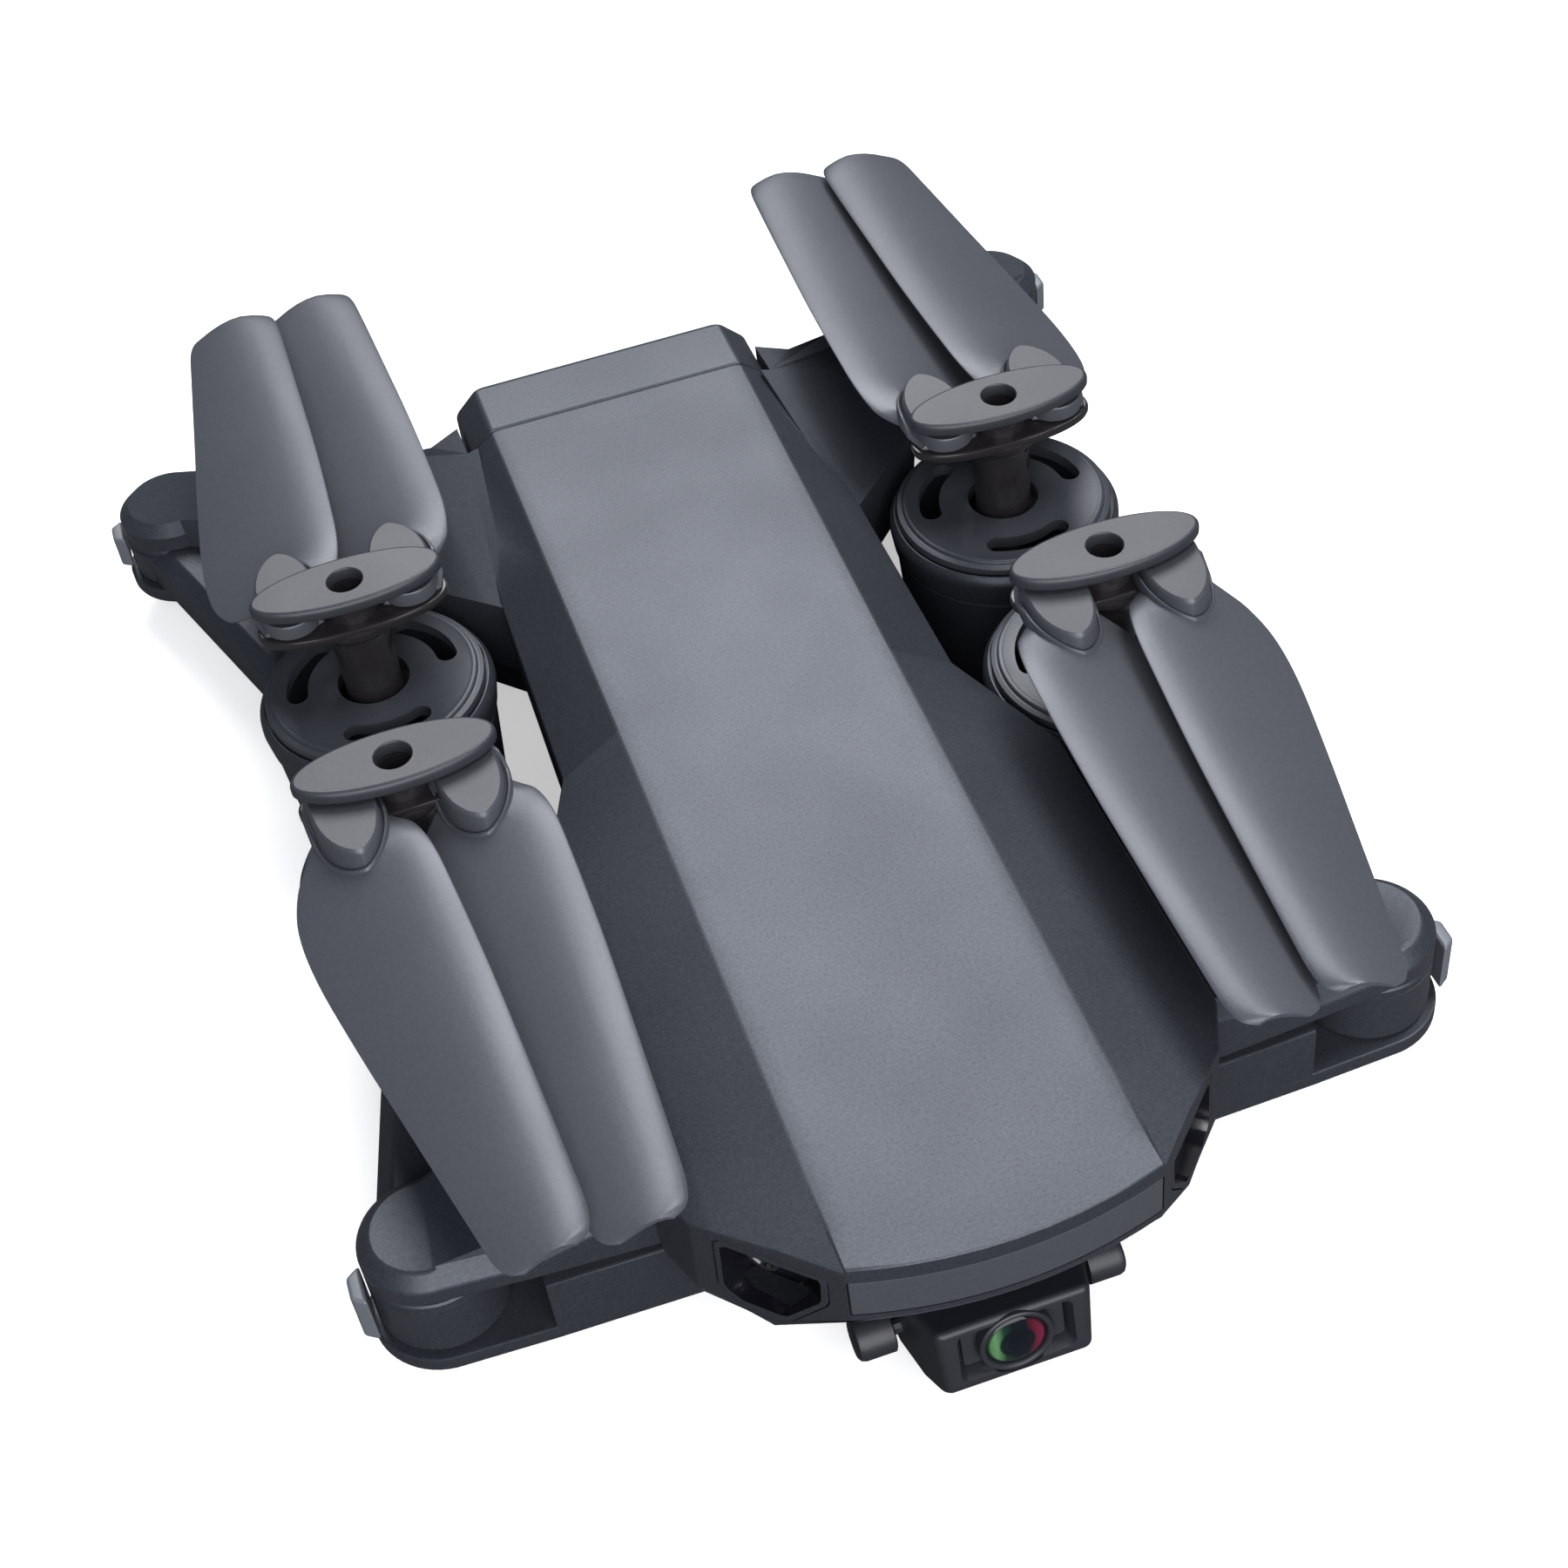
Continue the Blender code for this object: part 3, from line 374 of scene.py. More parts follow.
def lens_painted_reflections(name):
    """Dark glass with painted reflections: a green wedge to one side of the eye, red to the other."""
    finish, tree, shader = new_finish(name)
    where = tree.nodes.new("ShaderNodeTexCoord")
    middle = tree.nodes.new("ShaderNodeMapping")
    middle.inputs["Location"].default_value = -(place(*face_point(0.0, 0.0, 0.0)))
    tree.links.new(where.outputs["Object"], middle.inputs["Vector"])
    parts = tree.nodes.new("ShaderNodeSeparateXYZ")
    tree.links.new(middle.outputs["Vector"], parts.inputs["Vector"])
    across = tree.nodes.new("ShaderNodeMapRange")
    across.inputs["From Min"].default_value = -GLASS_R * MM
    across.inputs["From Max"].default_value = GLASS_R * MM
    tree.links.new(parts.outputs["X"], across.inputs["Value"])
    # Painted reflections: green across one side of the glass, red across the other.
    tint = ramp(tree, across.outputs["Result"], [
        (0.04, (0.05, 0.16, 0.05)), (0.16, (0.10, 0.22, 0.10)), (0.30, (0.010, 0.03, 0.02)),
        (0.45, (0.004, 0.008, 0.010)), (0.66, (0.006, 0.006, 0.012)), (0.80, (0.10, 0.008, 0.022)),
        (0.94, (0.14, 0.015, 0.04))])
    reach = tree.nodes.new("ShaderNodeVectorMath")
    reach.operation = "LENGTH"
    tree.links.new(middle.outputs["Vector"], reach.inputs[0])
    ring = tree.nodes.new("ShaderNodeMapRange")
    ring.inputs["From Max"].default_value = GLASS_R * MM
    tree.links.new(reach.outputs["Value"], ring.inputs["Value"])
    # Where the painted reflections show: rings round the dark pupil, with a fine pale ring of painted reflection.
    painted_reflection_rings = ramp(tree, ring.outputs["Result"], [
        (0.0, grey(0.0)), (0.34, grey(0.02)), (0.38, grey(0.45)), (0.42, grey(0.04)), (0.56, grey(0.10)),
        (0.61, grey(1.0)), (0.86, grey(1.0)), (0.93, grey(0.15))])
    shown = tree.nodes.new("ShaderNodeMix")
    shown.data_type = "RGBA"
    sockets = {socket.identifier: socket for socket in [*shown.inputs, *shown.outputs]}
    sockets["A_Color"].default_value = (0.004, 0.006, 0.010, 1.0)
    tree.links.new(painted_reflection_rings.outputs["Color"], sockets["Factor_Float"])
    tree.links.new(tint.outputs["Color"], sockets["B_Color"])
    tree.links.new(sockets["Result_Color"], shader.inputs["Base Color"])
    shader.inputs["Roughness"].default_value = 0.06
    shader.inputs["Specular IOR Level"].default_value = 0.25
    shader.inputs["Coat Weight"].default_value = 0.25
    shader.inputs["Coat Roughness"].default_value = 0.04
    return finish


# The lens glass, with its green and red reflections painted into its colour.
LENS = lens_painted_reflections("glass_painted_reflections")
print("lens coating", GLASS_R, "mm in radius")

# %% [markdown]
# These are the drone's finishes. The shells carry the most metal flake, the nose band is a lighter coat
# of the same paint, and the blades are smoother. The clamp plates, lids and camera go darker step by
# step. The pieces of the frame that stay in view or lie inside, such as motors, pins and the board, are
# given theirs here by the slot that the record names.

# %% Finishes
SHELL = painted("shell_paint", (0.048, 0.053, 0.066), 0.42, metallic=0.5, speckle=0.25)
BAND = painted("band_paint", (0.085, 0.089, 0.108), 0.42, metallic=0.4, speckle=0.10)
BLADE = painted("blade_plastic", (0.084, 0.089, 0.105), 0.40, metallic=0.30, speckle=0.08, grain=1800.0)
PLATE = painted("plate_plastic", (0.034, 0.037, 0.045), 0.42, metallic=0.15, speckle=0.10, grain=1800.0)
DARK = painted("dark_moulding", (0.020, 0.0215, 0.028), 0.42, speckle=0.15)
COVER = painted("cover_plastic", (0.055, 0.06, 0.072), 0.40, metallic=0.3, speckle=0.12)
GLOSS = painted("glossy_moulding", (0.02, 0.018, 0.020), 0.22, speckle=0.10, depth=0.005)
LAMP = painted("lamp_window", (0.13, 0.14, 0.165), 0.34, speckle=0.03, depth=0.005)
SMOKED = painted("smoked_window", (0.006, 0.006, 0.010), 0.10, speckle=0.05, depth=0.002, coat=1.0)
STEEL = painted("turned_steel", (0.5, 0.5, 0.52), 0.3, metallic=1.0, speckle=0.06, depth=0.01)
MOTOR = painted("motor_can", (0.10, 0.10, 0.11), 0.35, metallic=0.9, speckle=0.1, depth=0.01)
BOARD = painted("board_green", (0.02, 0.11, 0.05), 0.45, speckle=0.2, grain=900.0)
BRASS = painted("contact_brass", (0.62, 0.42, 0.16), 0.3, metallic=1.0, speckle=0.08)

CAD_FINISH = {"shell_plastic": SHELL, "band_plastic": BAND, "blade_plastic": BLADE, "dark_plastic": DARK,
              "steel": STEEL, "lamp_plastic": LAMP, "smoked_lens": SMOKED, "lens_glass": LENS,
              "circuit_board": BOARD, "contact_brass": BRASS, "motor_can": MOTOR}
slot_of = {part["node"]: part["material_slot"] for part in frame["record"]["subparts"]}
for node_name, solid in frame["nodes"].items():
    solid.data.materials.clear()
    darkened = node_name == "camera_axle"
    solid.data.materials.append(DARK if darkened else CAD_FINISH[slot_of[node_name]])


def finished(piece, finish, body, *nodes):
    """Give a new piece its finish, its body and the solids that it stands for."""
    piece.data.materials.clear()
    piece.data.materials.append(finish)
    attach(piece, body)
    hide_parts(*nodes)
    print(piece.name, len(piece.data.polygons), "faces")


print(len(bpy.data.materials), "finishes")

# %% [markdown]
# The body is one long moulding with five facets across it: a flat deck, two sloping flanks and two nearly
# upright walls. In plan it is broad at the front arms and narrows behind them. Three outlines, at the
# split, at the ridge and at the deck, are enough to loft it, a fourth eases the deck's long edges, and one
# bevel gives every edge the small radius that a mould leaves. A subdivided box would round the facets
# away, which is why a loft was chosen.

# %% Upper shell
DECK_Z, SPLIT_Z, BELLY_Z, WALL = 30.5, 12.0, -1.0, 2.0
NOSE_Y, NOSE_BULGE, NOSE_HALF = -71.0, 3.0, 19.2
SHOULDER, SHOULDER_DROP = 2.6, 0.32
EDGE_R = 0.55
SHELL_END_Y, CAP_END_Y = 93.7, 106.8
BOSS_R = 8.5
BOTH = (1, -1)
SIDES = ((1, "left"), (-1, "right"))
EARS = {"front": ((63.0, -37.5), (12.8, 15.5, 17.3)), "rear": ((72.1, 121.1), (10.2, 12.8, 14.5))}
NOSE_XS = [0.0, 4.0, 8.0, 12.0, 16.0, NOSE_HALF]


def nose_arc(z):
    """The right half of the nose's curved front, at one height."""
    return [(x, NOSE_Y - NOSE_BULGE * (1.0 - (x / NOSE_HALF) ** 2), z) for x in NOSE_XS]


def both_sides(half):
    """A closed outline from its right half, which runs from the nose's middle to the tail's."""
    return half + [(-x, y, z) for x, y, z in reversed(half[1:-1])]


def sided(points, sign):
    """The same points on the left for sign 1 or on the right for sign -1."""
    return [(sign * x, *rest) for x, *rest in points]


nose, nose_ridge, nose_low = nose_arc(DECK_Z), nose_arc(29.7), nose_arc(20.3)
deck_sides = [(19.1, -65.0), (19.2, -58.0), (19.2, -50.0), (19.6, 2.0), (19.8, 22.0), (20.2, 60.0),
              (20.5, SHELL_END_Y), (0.0, SHELL_END_Y)]
ridge = nose_ridge + [
    (26.3, -63.3, 28.2), (33.3, -55.5, 25.9), (36.5, -48.0, 25.0), (36.5, 2.0, 24.3), (28.6, 22.0, 24.2),
    (28.0, 60.0, 24.8), (26.0, SHELL_END_Y, 26.0), (0.0, SHELL_END_Y, 26.0)]
lower_edge = nose_low + [
    (26.8, -62.2, 11.9), (33.7, -55.3, 12.7), (36.2, -48.0, SPLIT_Z), (36.2, 2.0, SPLIT_Z),
    (28.3, 22.0, SPLIT_Z), (27.7, 60.0, SPLIT_Z), (25.7, SHELL_END_Y, SPLIT_Z),
    (0.0, SHELL_END_Y, SPLIT_Z)]
shoulder = nose + level(deck_sides, DECK_Z - SHOULDER_DROP)
deck_flat = nose + [(max(x - SHOULDER, 0.0), y, DECK_Z) for x, y in deck_sides]
upper = lofted("body_upper", [both_sides(ring) for ring in (lower_edge, ridge, shoulder, deck_flat)])
rounded(upper, EDGE_R, segments=3, angle=9.0)
print("upper shell", len(upper.data.polygons), "faces before its ears")

# %% [markdown]
# Each arm hinges under an ear of the upper shell. A front ear is a flat lug with a chamfered rim, and a
# rear ear is longer and flares out of the tail like a wing. Both are lofted apart, because their edges
# are rounder than the body's, and joined on with a boolean, as a fillet would be too wide here.

# %% Ears and the room inside
EAR_FLAT = 1.8      # how far the ear's flat top stays inside its rim
WEB_RISE = 6.2      # how much higher a front ear is where it meets the body
ROOM_TOP = 22.4


def front_ear(sign):
    hinge, (under, chamfer, top) = EARS["front"]
    tip = arc(hinge, BOSS_R, -93.0, 100.0, 33)
    flat = arc(hinge, BOSS_R - EAR_FLAT, -93.0, 100.0, 33)
    rim = [(34.0, -48.0), (52.0, -46.9), *tip, (52.0, -24.4), (34.0, -14.5)]
    inner = [(34.0, -46.2), (52.0, -45.1), *flat, (51.0, -26.0), (34.0, -16.6)]
    rise = [WEB_RISE] + [0.0] * (len(rim) - 2) + [WEB_RISE]
    rings = [level(rim, under), [(x, y, chamfer + r) for (x, y), r in zip(rim, rise)],
             [(x, y, top + r) for (x, y), r in zip(inner, rise)]]
    ear = lofted("ear", [sided(ring, sign) for ring in rings])
    rounded(ear, 0.45, segments=3, angle=20.0)
    return ear


def rear_ear(sign):
    hinge, (under, chamfer, top) = EARS["rear"]
    tip = arc(hinge, BOSS_R, -98.0, 112.0, 33)
    flat = arc(hinge, BOSS_R - EAR_FLAT, -98.0, 112.0, 33)
    wing = [(24.9, 101.2, 27.2), (24.9, 92.9, 28.2), (23.2, 92.1, 29.3), (26.6, 58.0, 24.9),
            (41.0, 73.5, 23.0), (50.5, 101.0, 17.5)]
    back = [(39.5, 109.8, 19.5), (29.8, 99.0, 26.6)]
    lower = [(x, y, SPLIT_Z) for x, y, _ in wing[:-1]] + [(51.5, 100.5, under)]
    wing_rim = [(x, y, z - 1.0) for x, y, z in wing]
    back_rim = [(x, y + 0.5, z - 1.0) for x, y, z in back]
    rings = [lower + level(tip, under) + [(39.5, 110.6, SPLIT_Z), (29.8, 99.6, SPLIT_Z)],
             wing_rim + level(tip, chamfer) + back_rim,
             wing + level(flat, top) + back]
    return lofted("ear", [sided(ring, sign) for ring in rings])


for sign in BOTH:
    merged(upper, front_ear(sign))
    merged(upper, rear_ear(sign))
room_plan = [(0.0, -66.5), (15.0, -66.0), (20.0, -61.5), (30.0, -51.5), (34.0, -46.0), (34.0, 1.0),
             (26.2, 20.5), (25.6, 60.0), (23.6, 110.0), (0.0, 110.0)]
roof = [(min(x, 18.3), y, DECK_Z - WALL) for x, y in room_plan]
room = [both_sides(level(room_plan, 0.0)), both_sides(level(room_plan, ROOM_TOP)), both_sides(roof)]
merged(upper, lofted("room", room), "DIFFERENCE")
print("upper shell", len(upper.data.polygons), "faces with ears and room")

# %% [markdown]
# A lighter strip runs across the nose, set into a shallow seat so that only a hairline shows round it.
# The seat is cut a little larger than the strip, which makes a real gap that catches a real shadow.

# %% Nose band
def band_ring(z, front, back, trim):
    """The nose's curve as a thin closed band, from front to back of its face, trimmed at its ends."""
    half = NOSE_HALF - trim
    xs = [half * k / 8.0 for k in range(-8, 9)]
    near = [(x, NOSE_Y - NOSE_BULGE * (1.0 - (x / NOSE_HALF) ** 2), z) for x in xs]
    return [(x, y + front, z) for x, y, z in near] + [(x, y + back, z) for x, y, z in reversed(near)]


seat = lofted("seat", [band_ring(z, -2.0, 1.8, -0.02) for z in (21.35, 28.05)])
merged(upper, seat, "DIFFERENCE")
band = lofted("front_band", [band_ring(z, 0.0, 1.6, 0.15) for z in (21.5, 27.9)])
rounded(band, 0.2, segments=2, angle=30.0)
smooth(band)
finished(band, BAND, "root", "nose_band")

# %% [markdown]
# On each slanting corner a dark window hides the forward sensors. It is a framed well: a bezel with a
# wall going in, and a small round sensor in its upper corner. The outline is drawn once on the corner's
# own face, across and up, and then grown or shrunk for the hole, the bezel and the well. The faces
# inside the well take the smoked finish, because the real one is dark all the way in.

# %% Sensor windows
WINDOW_RUN = (0.673, 0.7396)        # how far the corner's face goes sideways and back in a millimetre
WINDOW_MIDDLE = (10.9, 20.2)
EYE_SPOT = (13.2, 20.6)
EYE_STEPS = ((2.5, 4.9), (2.5, 3.0), (2.2, 2.7), (1.7, 2.75), (1.5, 3.1), (1.1, 2.8), (0.6, 2.65))
LIP_DEPTH = 0.6
WINDOW = [(3.4, 26.4), (10.4, 25.7), (16.4, 25.0), (17.4, 24.2), (17.8, 15.8), (17.0, 14.7), (15.2, 13.7),
          (9.8, 14.1), (8.6, 14.7), (3.8, 20.9), (3.3, 22.0), (3.1, 25.6)]


def window_point(u, z, depth, sign):
    """A point of the corner's face: across it, at a height, and at a depth behind it."""
    x = NOSE_HALF + 0.1 + WINDOW_RUN[0] * u - WINDOW_RUN[1] * depth
    y = NOSE_Y + WINDOW_RUN[1] * u + WINDOW_RUN[0] * depth
    return (sign * x, y, z)


def window_ring(grow, depth, sign):
    """The window's outline, grown by some millimetres, at a depth behind the corner's face."""
    ring = []
    for u, z in WINDOW:
        du, dz = u - WINDOW_MIDDLE[0], z - WINDOW_MIDDLE[1]
        scale = 1.0 + grow / math.hypot(du, dz)
        ring.append(window_point(WINDOW_MIDDLE[0] + du * scale, WINDOW_MIDDLE[1] + dz * scale, depth,
                                 sign))
    return ring


for sign, side_name in SIDES:
    hole = lofted("window_hole", [window_ring(0.75, depth, sign) for depth in (-2.0, 8.0)])
    merged(upper, hole, "DIFFERENCE")
    bezel = lofted("window_frame_" + side_name, [window_ring(0.55, depth, sign) for depth in (0.05, 6.0)])
    rounded(bezel, 0.2, segments=2, angle=50.0)
    well = lofted("well", [window_ring(-0.45 - 0.1 * depth, depth, sign) for depth in (-1.0, 5.2)])
    merged(bezel, well, "DIFFERENCE")
    smooth(bezel)
    finished(bezel, SHELL, "root", "window_bezel_" + side_name)
    bezel.data.materials.append(SMOKED)
    outside = place(*window_point(0.0, WINDOW_MIDDLE[1], 0.0, sign))
    inward = (place(*window_point(0.0, WINDOW_MIDDLE[1], 1.0, sign)) - outside).normalized()
    for face in bezel.data.polygons:
        if (face.center - outside).dot(inward) > LIP_DEPTH * MM:
            face.material_index = 1
    eye_rings = []
    for radius, depth in EYE_STEPS:
        turns = [2.0 * math.pi * i / 40 for i in range(40)]
        spots = [(EYE_SPOT[0] + radius * math.cos(a), EYE_SPOT[1] + radius * math.sin(a)) for a in turns]
        eye_rings.append([window_point(u, z, depth, sign) for u, z in spots])
    eye = lofted("window_eye_" + side_name, eye_rings)
    smooth(eye)
    finished(eye, SMOKED, "root", "window_lens_" + side_name)

smooth(upper, 22.0)
finished(upper, SHELL, "root", "upper_shell")

# %% [markdown]
# The lower shell is a shallow tub with four hinge brackets growing out of it. A bracket is a web beside
# the arm's root and a round flange under it, so the root turns between ear and flange like a knuckle.
# The tub starts from the upper shell's own lower edge, a hair lower, so the parting line is an open gap
# and needs no drawn line. Seats for the belly's screws and sensor are cut last, where the edges are final.

# %% Lower shell
PART_GAP = 0.12
belly = level([
    (0.0, -52.0), (5.0, -52.0), (9.0, -52.0), (12.0, -52.0), (15.0, -52.0), (18.0, -51.9), (23.0, -51.5),
    (28.5, -49.5), (31.5, -45.0), (31.5, 0.0), (24.5, 20.0), (24.0, 60.0), (22.5, SHELL_END_Y),
    (0.0, SHELL_END_Y)], BELLY_Z)
tub_edge = [(x, y, z - (PART_GAP if y > -50.0 else 3.0 * PART_GAP)) for x, y, z in lower_edge]
lower = lofted("body_lower", [both_sides(belly), both_sides(tub_edge)])
rounded(lower, 0.8, segments=3, angle=35.0)
FLANGE_R, FLANGE_TOP = 9.6, 2.5
front_round = arc(EARS["front"][0], FLANGE_R, -90.0, 105.0, 33)
rear_round = arc(EARS["rear"][0], FLANGE_R, -105.0, 118.0, 33)
BRACKETS = {  # outline of the web, outline of the flange, height of the web
    "front": ([(30.0, -48.0), (51.0, -47.6), (51.0, -31.0), (45.0, -23.5), (30.0, -17.0)],
              [(30.0, -48.0), (51.0, -47.6), *front_round, (45.0, -23.5), (30.0, -17.0)], 11.6),
    "rear": ([(23.0, 63.0), (36.0, 77.0), (50.0, 104.0), (57.5, 113.5), (58.5, 121.5), (45.0, 113.0),
              (31.0, 97.5), (23.0, 91.5)],
             [(23.0, 63.0), (36.0, 77.0), (50.0, 104.0), *rear_round, (45.0, 113.0), (31.0, 97.5),
              (23.0, 91.5)], 9.85)}
for sign in BOTH:
    for web, flange, web_top in BRACKETS.values():
        plate = lofted("flange", [level(sided(flange, sign), z) for z in (0.0, FLANGE_TOP)])
        rounded(plate, 0.35, segments=2, angle=40.0)
        side_wall = lofted("web", [level(sided(web, sign), z) for z in (0.15, web_top)])
        rounded(side_wall, 0.4, segments=2, angle=20.0)
        merged(lower, side_wall)
        merged(lower, plate)
basin = [(0.0, -49.5), (16.0, -49.5), (26.5, -47.0), (29.3, -43.5), (29.3, -0.5), (22.3, 19.5),
         (21.8, 60.0), (20.4, 110.0), (0.0, 110.0)]
merged(lower, lofted("basin", [both_sides(level(basin, z)) for z in (BELLY_Z + WALL, 30.0)]),
       "DIFFERENCE")
SCREW_PLACES = [(20.0, -40.0), (18.0, 84.0)]
SENSOR_PLACE = (0.0, -22.0)


def drilled(piece, centre, radius, low, high, count):
    """Cut a round, straight hole or seat, from one height to another."""
    profile = [(0.0, low), (radius, low), (radius, high), (0.0, high)]
    merged(piece, turned("drill", centre, profile, count), "DIFFERENCE")


for x, y in SCREW_PLACES:
    for sign in BOTH:
        drilled(lower, (sign * x, y), 2.0, -2.0, 0.2, 32)
drilled(lower, SENSOR_PLACE, 5.3, -2.0, 0.2, 48)
smooth(lower, 25.0)
finished(lower, SHELL, "root", "lower_shell")

# %% [markdown]
# The battery is a slab that slides in from the back, and its tail cap finishes the body: the same five
# facets, closed by a rounded end. The cap carries two ribbed catches at its sides and the power button.

# %% Battery and its cap
CAP_HALF = 24.3
cap_half = [(0.0, DECK_Z), (20.5, DECK_Z), (CAP_HALF, 26.8), (CAP_HALF, 2.5), (21.0, BELLY_Z),
            (0.0, BELLY_Z)]
cap_outline = cap_half + [(-x, z) for x, z in reversed(cap_half[1:-1])]
cap_middle = (DECK_Z + BELLY_Z) / 2
CAP_START = SHELL_END_Y + 0.22


def cap_ring(y, scale):
    return [(x * scale, y, cap_middle + (z - cap_middle) * scale) for x, z in cap_outline]


pack = lofted("battery_cap", [cap_ring(CAP_START, 1.0), cap_ring(CAP_END_Y - 1.4, 1.0),
                              cap_ring(CAP_END_Y, 0.94)])
rounded(pack, 0.6, segments=3, angle=20.0)
cells = [(-16.0, 2.2), (16.0, 2.2), (16.0, 24.0), (-16.0, 24.0)]
slab = lofted("cells", [[(x, y, z) for x, z in cells] for y in (-1.6, SHELL_END_Y + 1.0)])
rounded(slab, 0.8, segments=3)
merged(pack, slab)
contact_slot = [(-10.0, 9.0), (10.0, 9.0), (10.0, 15.0), (-10.0, 15.0)]
merged(pack, lofted("contact_slot", [[(x, y, z) for x, z in contact_slot] for y in (-3.0, 1.5)]),
       "DIFFERENCE")
for sign in (1, -1):
    slot = [(96.7, 2.9), (104.3, 2.9), (104.3, 9.6), (96.7, 9.6)]
    merged(pack, lofted("catch_slot", [[(sign * x, y, z) for y, z in slot]
                                       for x in (CAP_HALF - 3.0, CAP_HALF + 2.0)]),
           "DIFFERENCE")
BUTTON_Z = 15.0


def round_along_y(name, radii, count=64):
    """A round solid about the button's axis, from (radius, y) pairs."""
    rings = [[(x, y, z) for x, z in circle((0.0, BUTTON_Z), radius, count)] for radius, y in radii]
    return lofted(name, rings)


merged(pack, round_along_y("button_hole",
                           [(4.3, CAP_END_Y - 3.4), (4.3, CAP_END_Y - 0.2), (4.9, CAP_END_Y + 0.4)]),
       "DIFFERENCE")
smooth(pack, 30.0)
finished(pack, SHELL, "battery", "battery_pack")
cap_end = CAP_END_Y + 0.6
button = round_along_y("power_key", [(0.01, CAP_END_Y - 1.9), (4.0, CAP_END_Y - 1.9),
                                     (4.0, cap_end - 0.5),
                                     (3.85, cap_end - 0.15), (3.5, cap_end), (3.1, cap_end - 0.1),
                                     (2.8, cap_end - 0.35), (0.01, cap_end - 0.55)])
smooth(button)
finished(button, DARK, "button", "power_button")

for sign, side_name in ((1, "left"), (-1, "right")):
    tall = [(97.0, 3.2), (104.0, 3.2), (104.0, 9.3), (97.0, 9.3)]
    catch = lofted("catch_" + side_name, [[(sign * x, y, z) for y, z in tall]
                                          for x in (CAP_HALF - 1.6, CAP_HALF + 0.7)])
    rounded(catch, 0.35, segments=3)
    for k in range(4):
        rib_y = 98.15 + 1.55 * k
        rib = [(rib_y, 2.0), (rib_y + 0.6, 2.0), (rib_y + 0.6, 11.0), (rib_y, 11.0)]
        merged(catch, lofted("rib", [[(sign * x, y, z) for y, z in rib]
                                     for x in (CAP_HALF + 0.3, CAP_HALF + 2.0)]),
               "DIFFERENCE")
    smooth(catch)
    finished(catch, DARK, "latch_" + side_name, "battery_latch_" + side_name)

# %% [markdown]
# An arm is one moulding: a knuckle at the hinge, a box beam with chamfered top edges, and a round pod that
# narrows slightly towards its foot. The pod has a parting groove near its rim and a lid set inside it.

# %% Arms, pods and lids
PODS = {"front": (49.8, 17.2), "rear": (49.0, 54.2)}
ROOT_LOW, POD_R, POD_RIM_Z, FOOT_Z = 2.8, 17.4, 21.4, -6.0
COVER_R, COVER_LOW, COVER_TOP = 16.2, 21.2, 23.2
BEAM_HALF = 7.5
pod_profile = [(0.0, FOOT_Z), (13.9, FOOT_Z), (14.7, FOOT_Z + 0.25), (15.2, FOOT_Z + 1.0), (16.55, 15.0),
               (16.65, 15.5), (16.3, 15.7), (16.3, 16.0), (16.85, 16.2), (17.0, 16.6), (17.4, 19.4),
               (17.35, 20.2),
               (17.0, 20.9), (16.6, 21.3), (16.0, POD_RIM_Z), (0.0, POD_RIM_Z)]
well_profile = [(0.0, -1.0), (14.4, -1.0), (14.4, 20.9), (16.45, 20.9), (16.45, 30.0), (0.0, 30.0)]
cover_profile = [(0.0, COVER_LOW), (COVER_R - 0.3, COVER_LOW), (COVER_R, COVER_LOW + 0.3),
                 (COVER_R, COVER_TOP - 1.0),
                 (COVER_R - 0.15, COVER_TOP - 0.75), (COVER_R - 0.6, COVER_TOP - 0.6),
                 (COVER_R - 0.9, COVER_TOP - 0.5),
                 (COVER_R - 1.0, COVER_TOP - 0.2), (COVER_R - 1.25, COVER_TOP),
                 (COVER_R - 1.7, COVER_TOP),
                 (COVER_R - 2.0, COVER_TOP - 0.12), (0.0, COVER_TOP - 0.12)]


def kidney(centre, turn):
    """Outline of a curved slot with round ends, about the angle turn."""
    reach, half, spread = 11.2, 1.55, 26.0
    ends = []
    for angle in (turn + spread, turn - spread):
        spot = (centre[0] + reach * math.cos(math.radians(angle)),
                centre[1] + reach * math.sin(math.radians(angle)))
        ends.append(spot)
    outer = arc(centre, reach + half, turn - spread, turn + spread, 13)
    inner = arc(centre, reach - half, turn + spread, turn - spread, 13)
    first = arc(ends[0], half, turn + spread, turn + spread + 180.0, 9)[1:-1]
    last = arc(ends[1], half, turn - spread + 180.0, turn - spread + 360.0, 9)[1:-1]
    return outer + first + inner + last


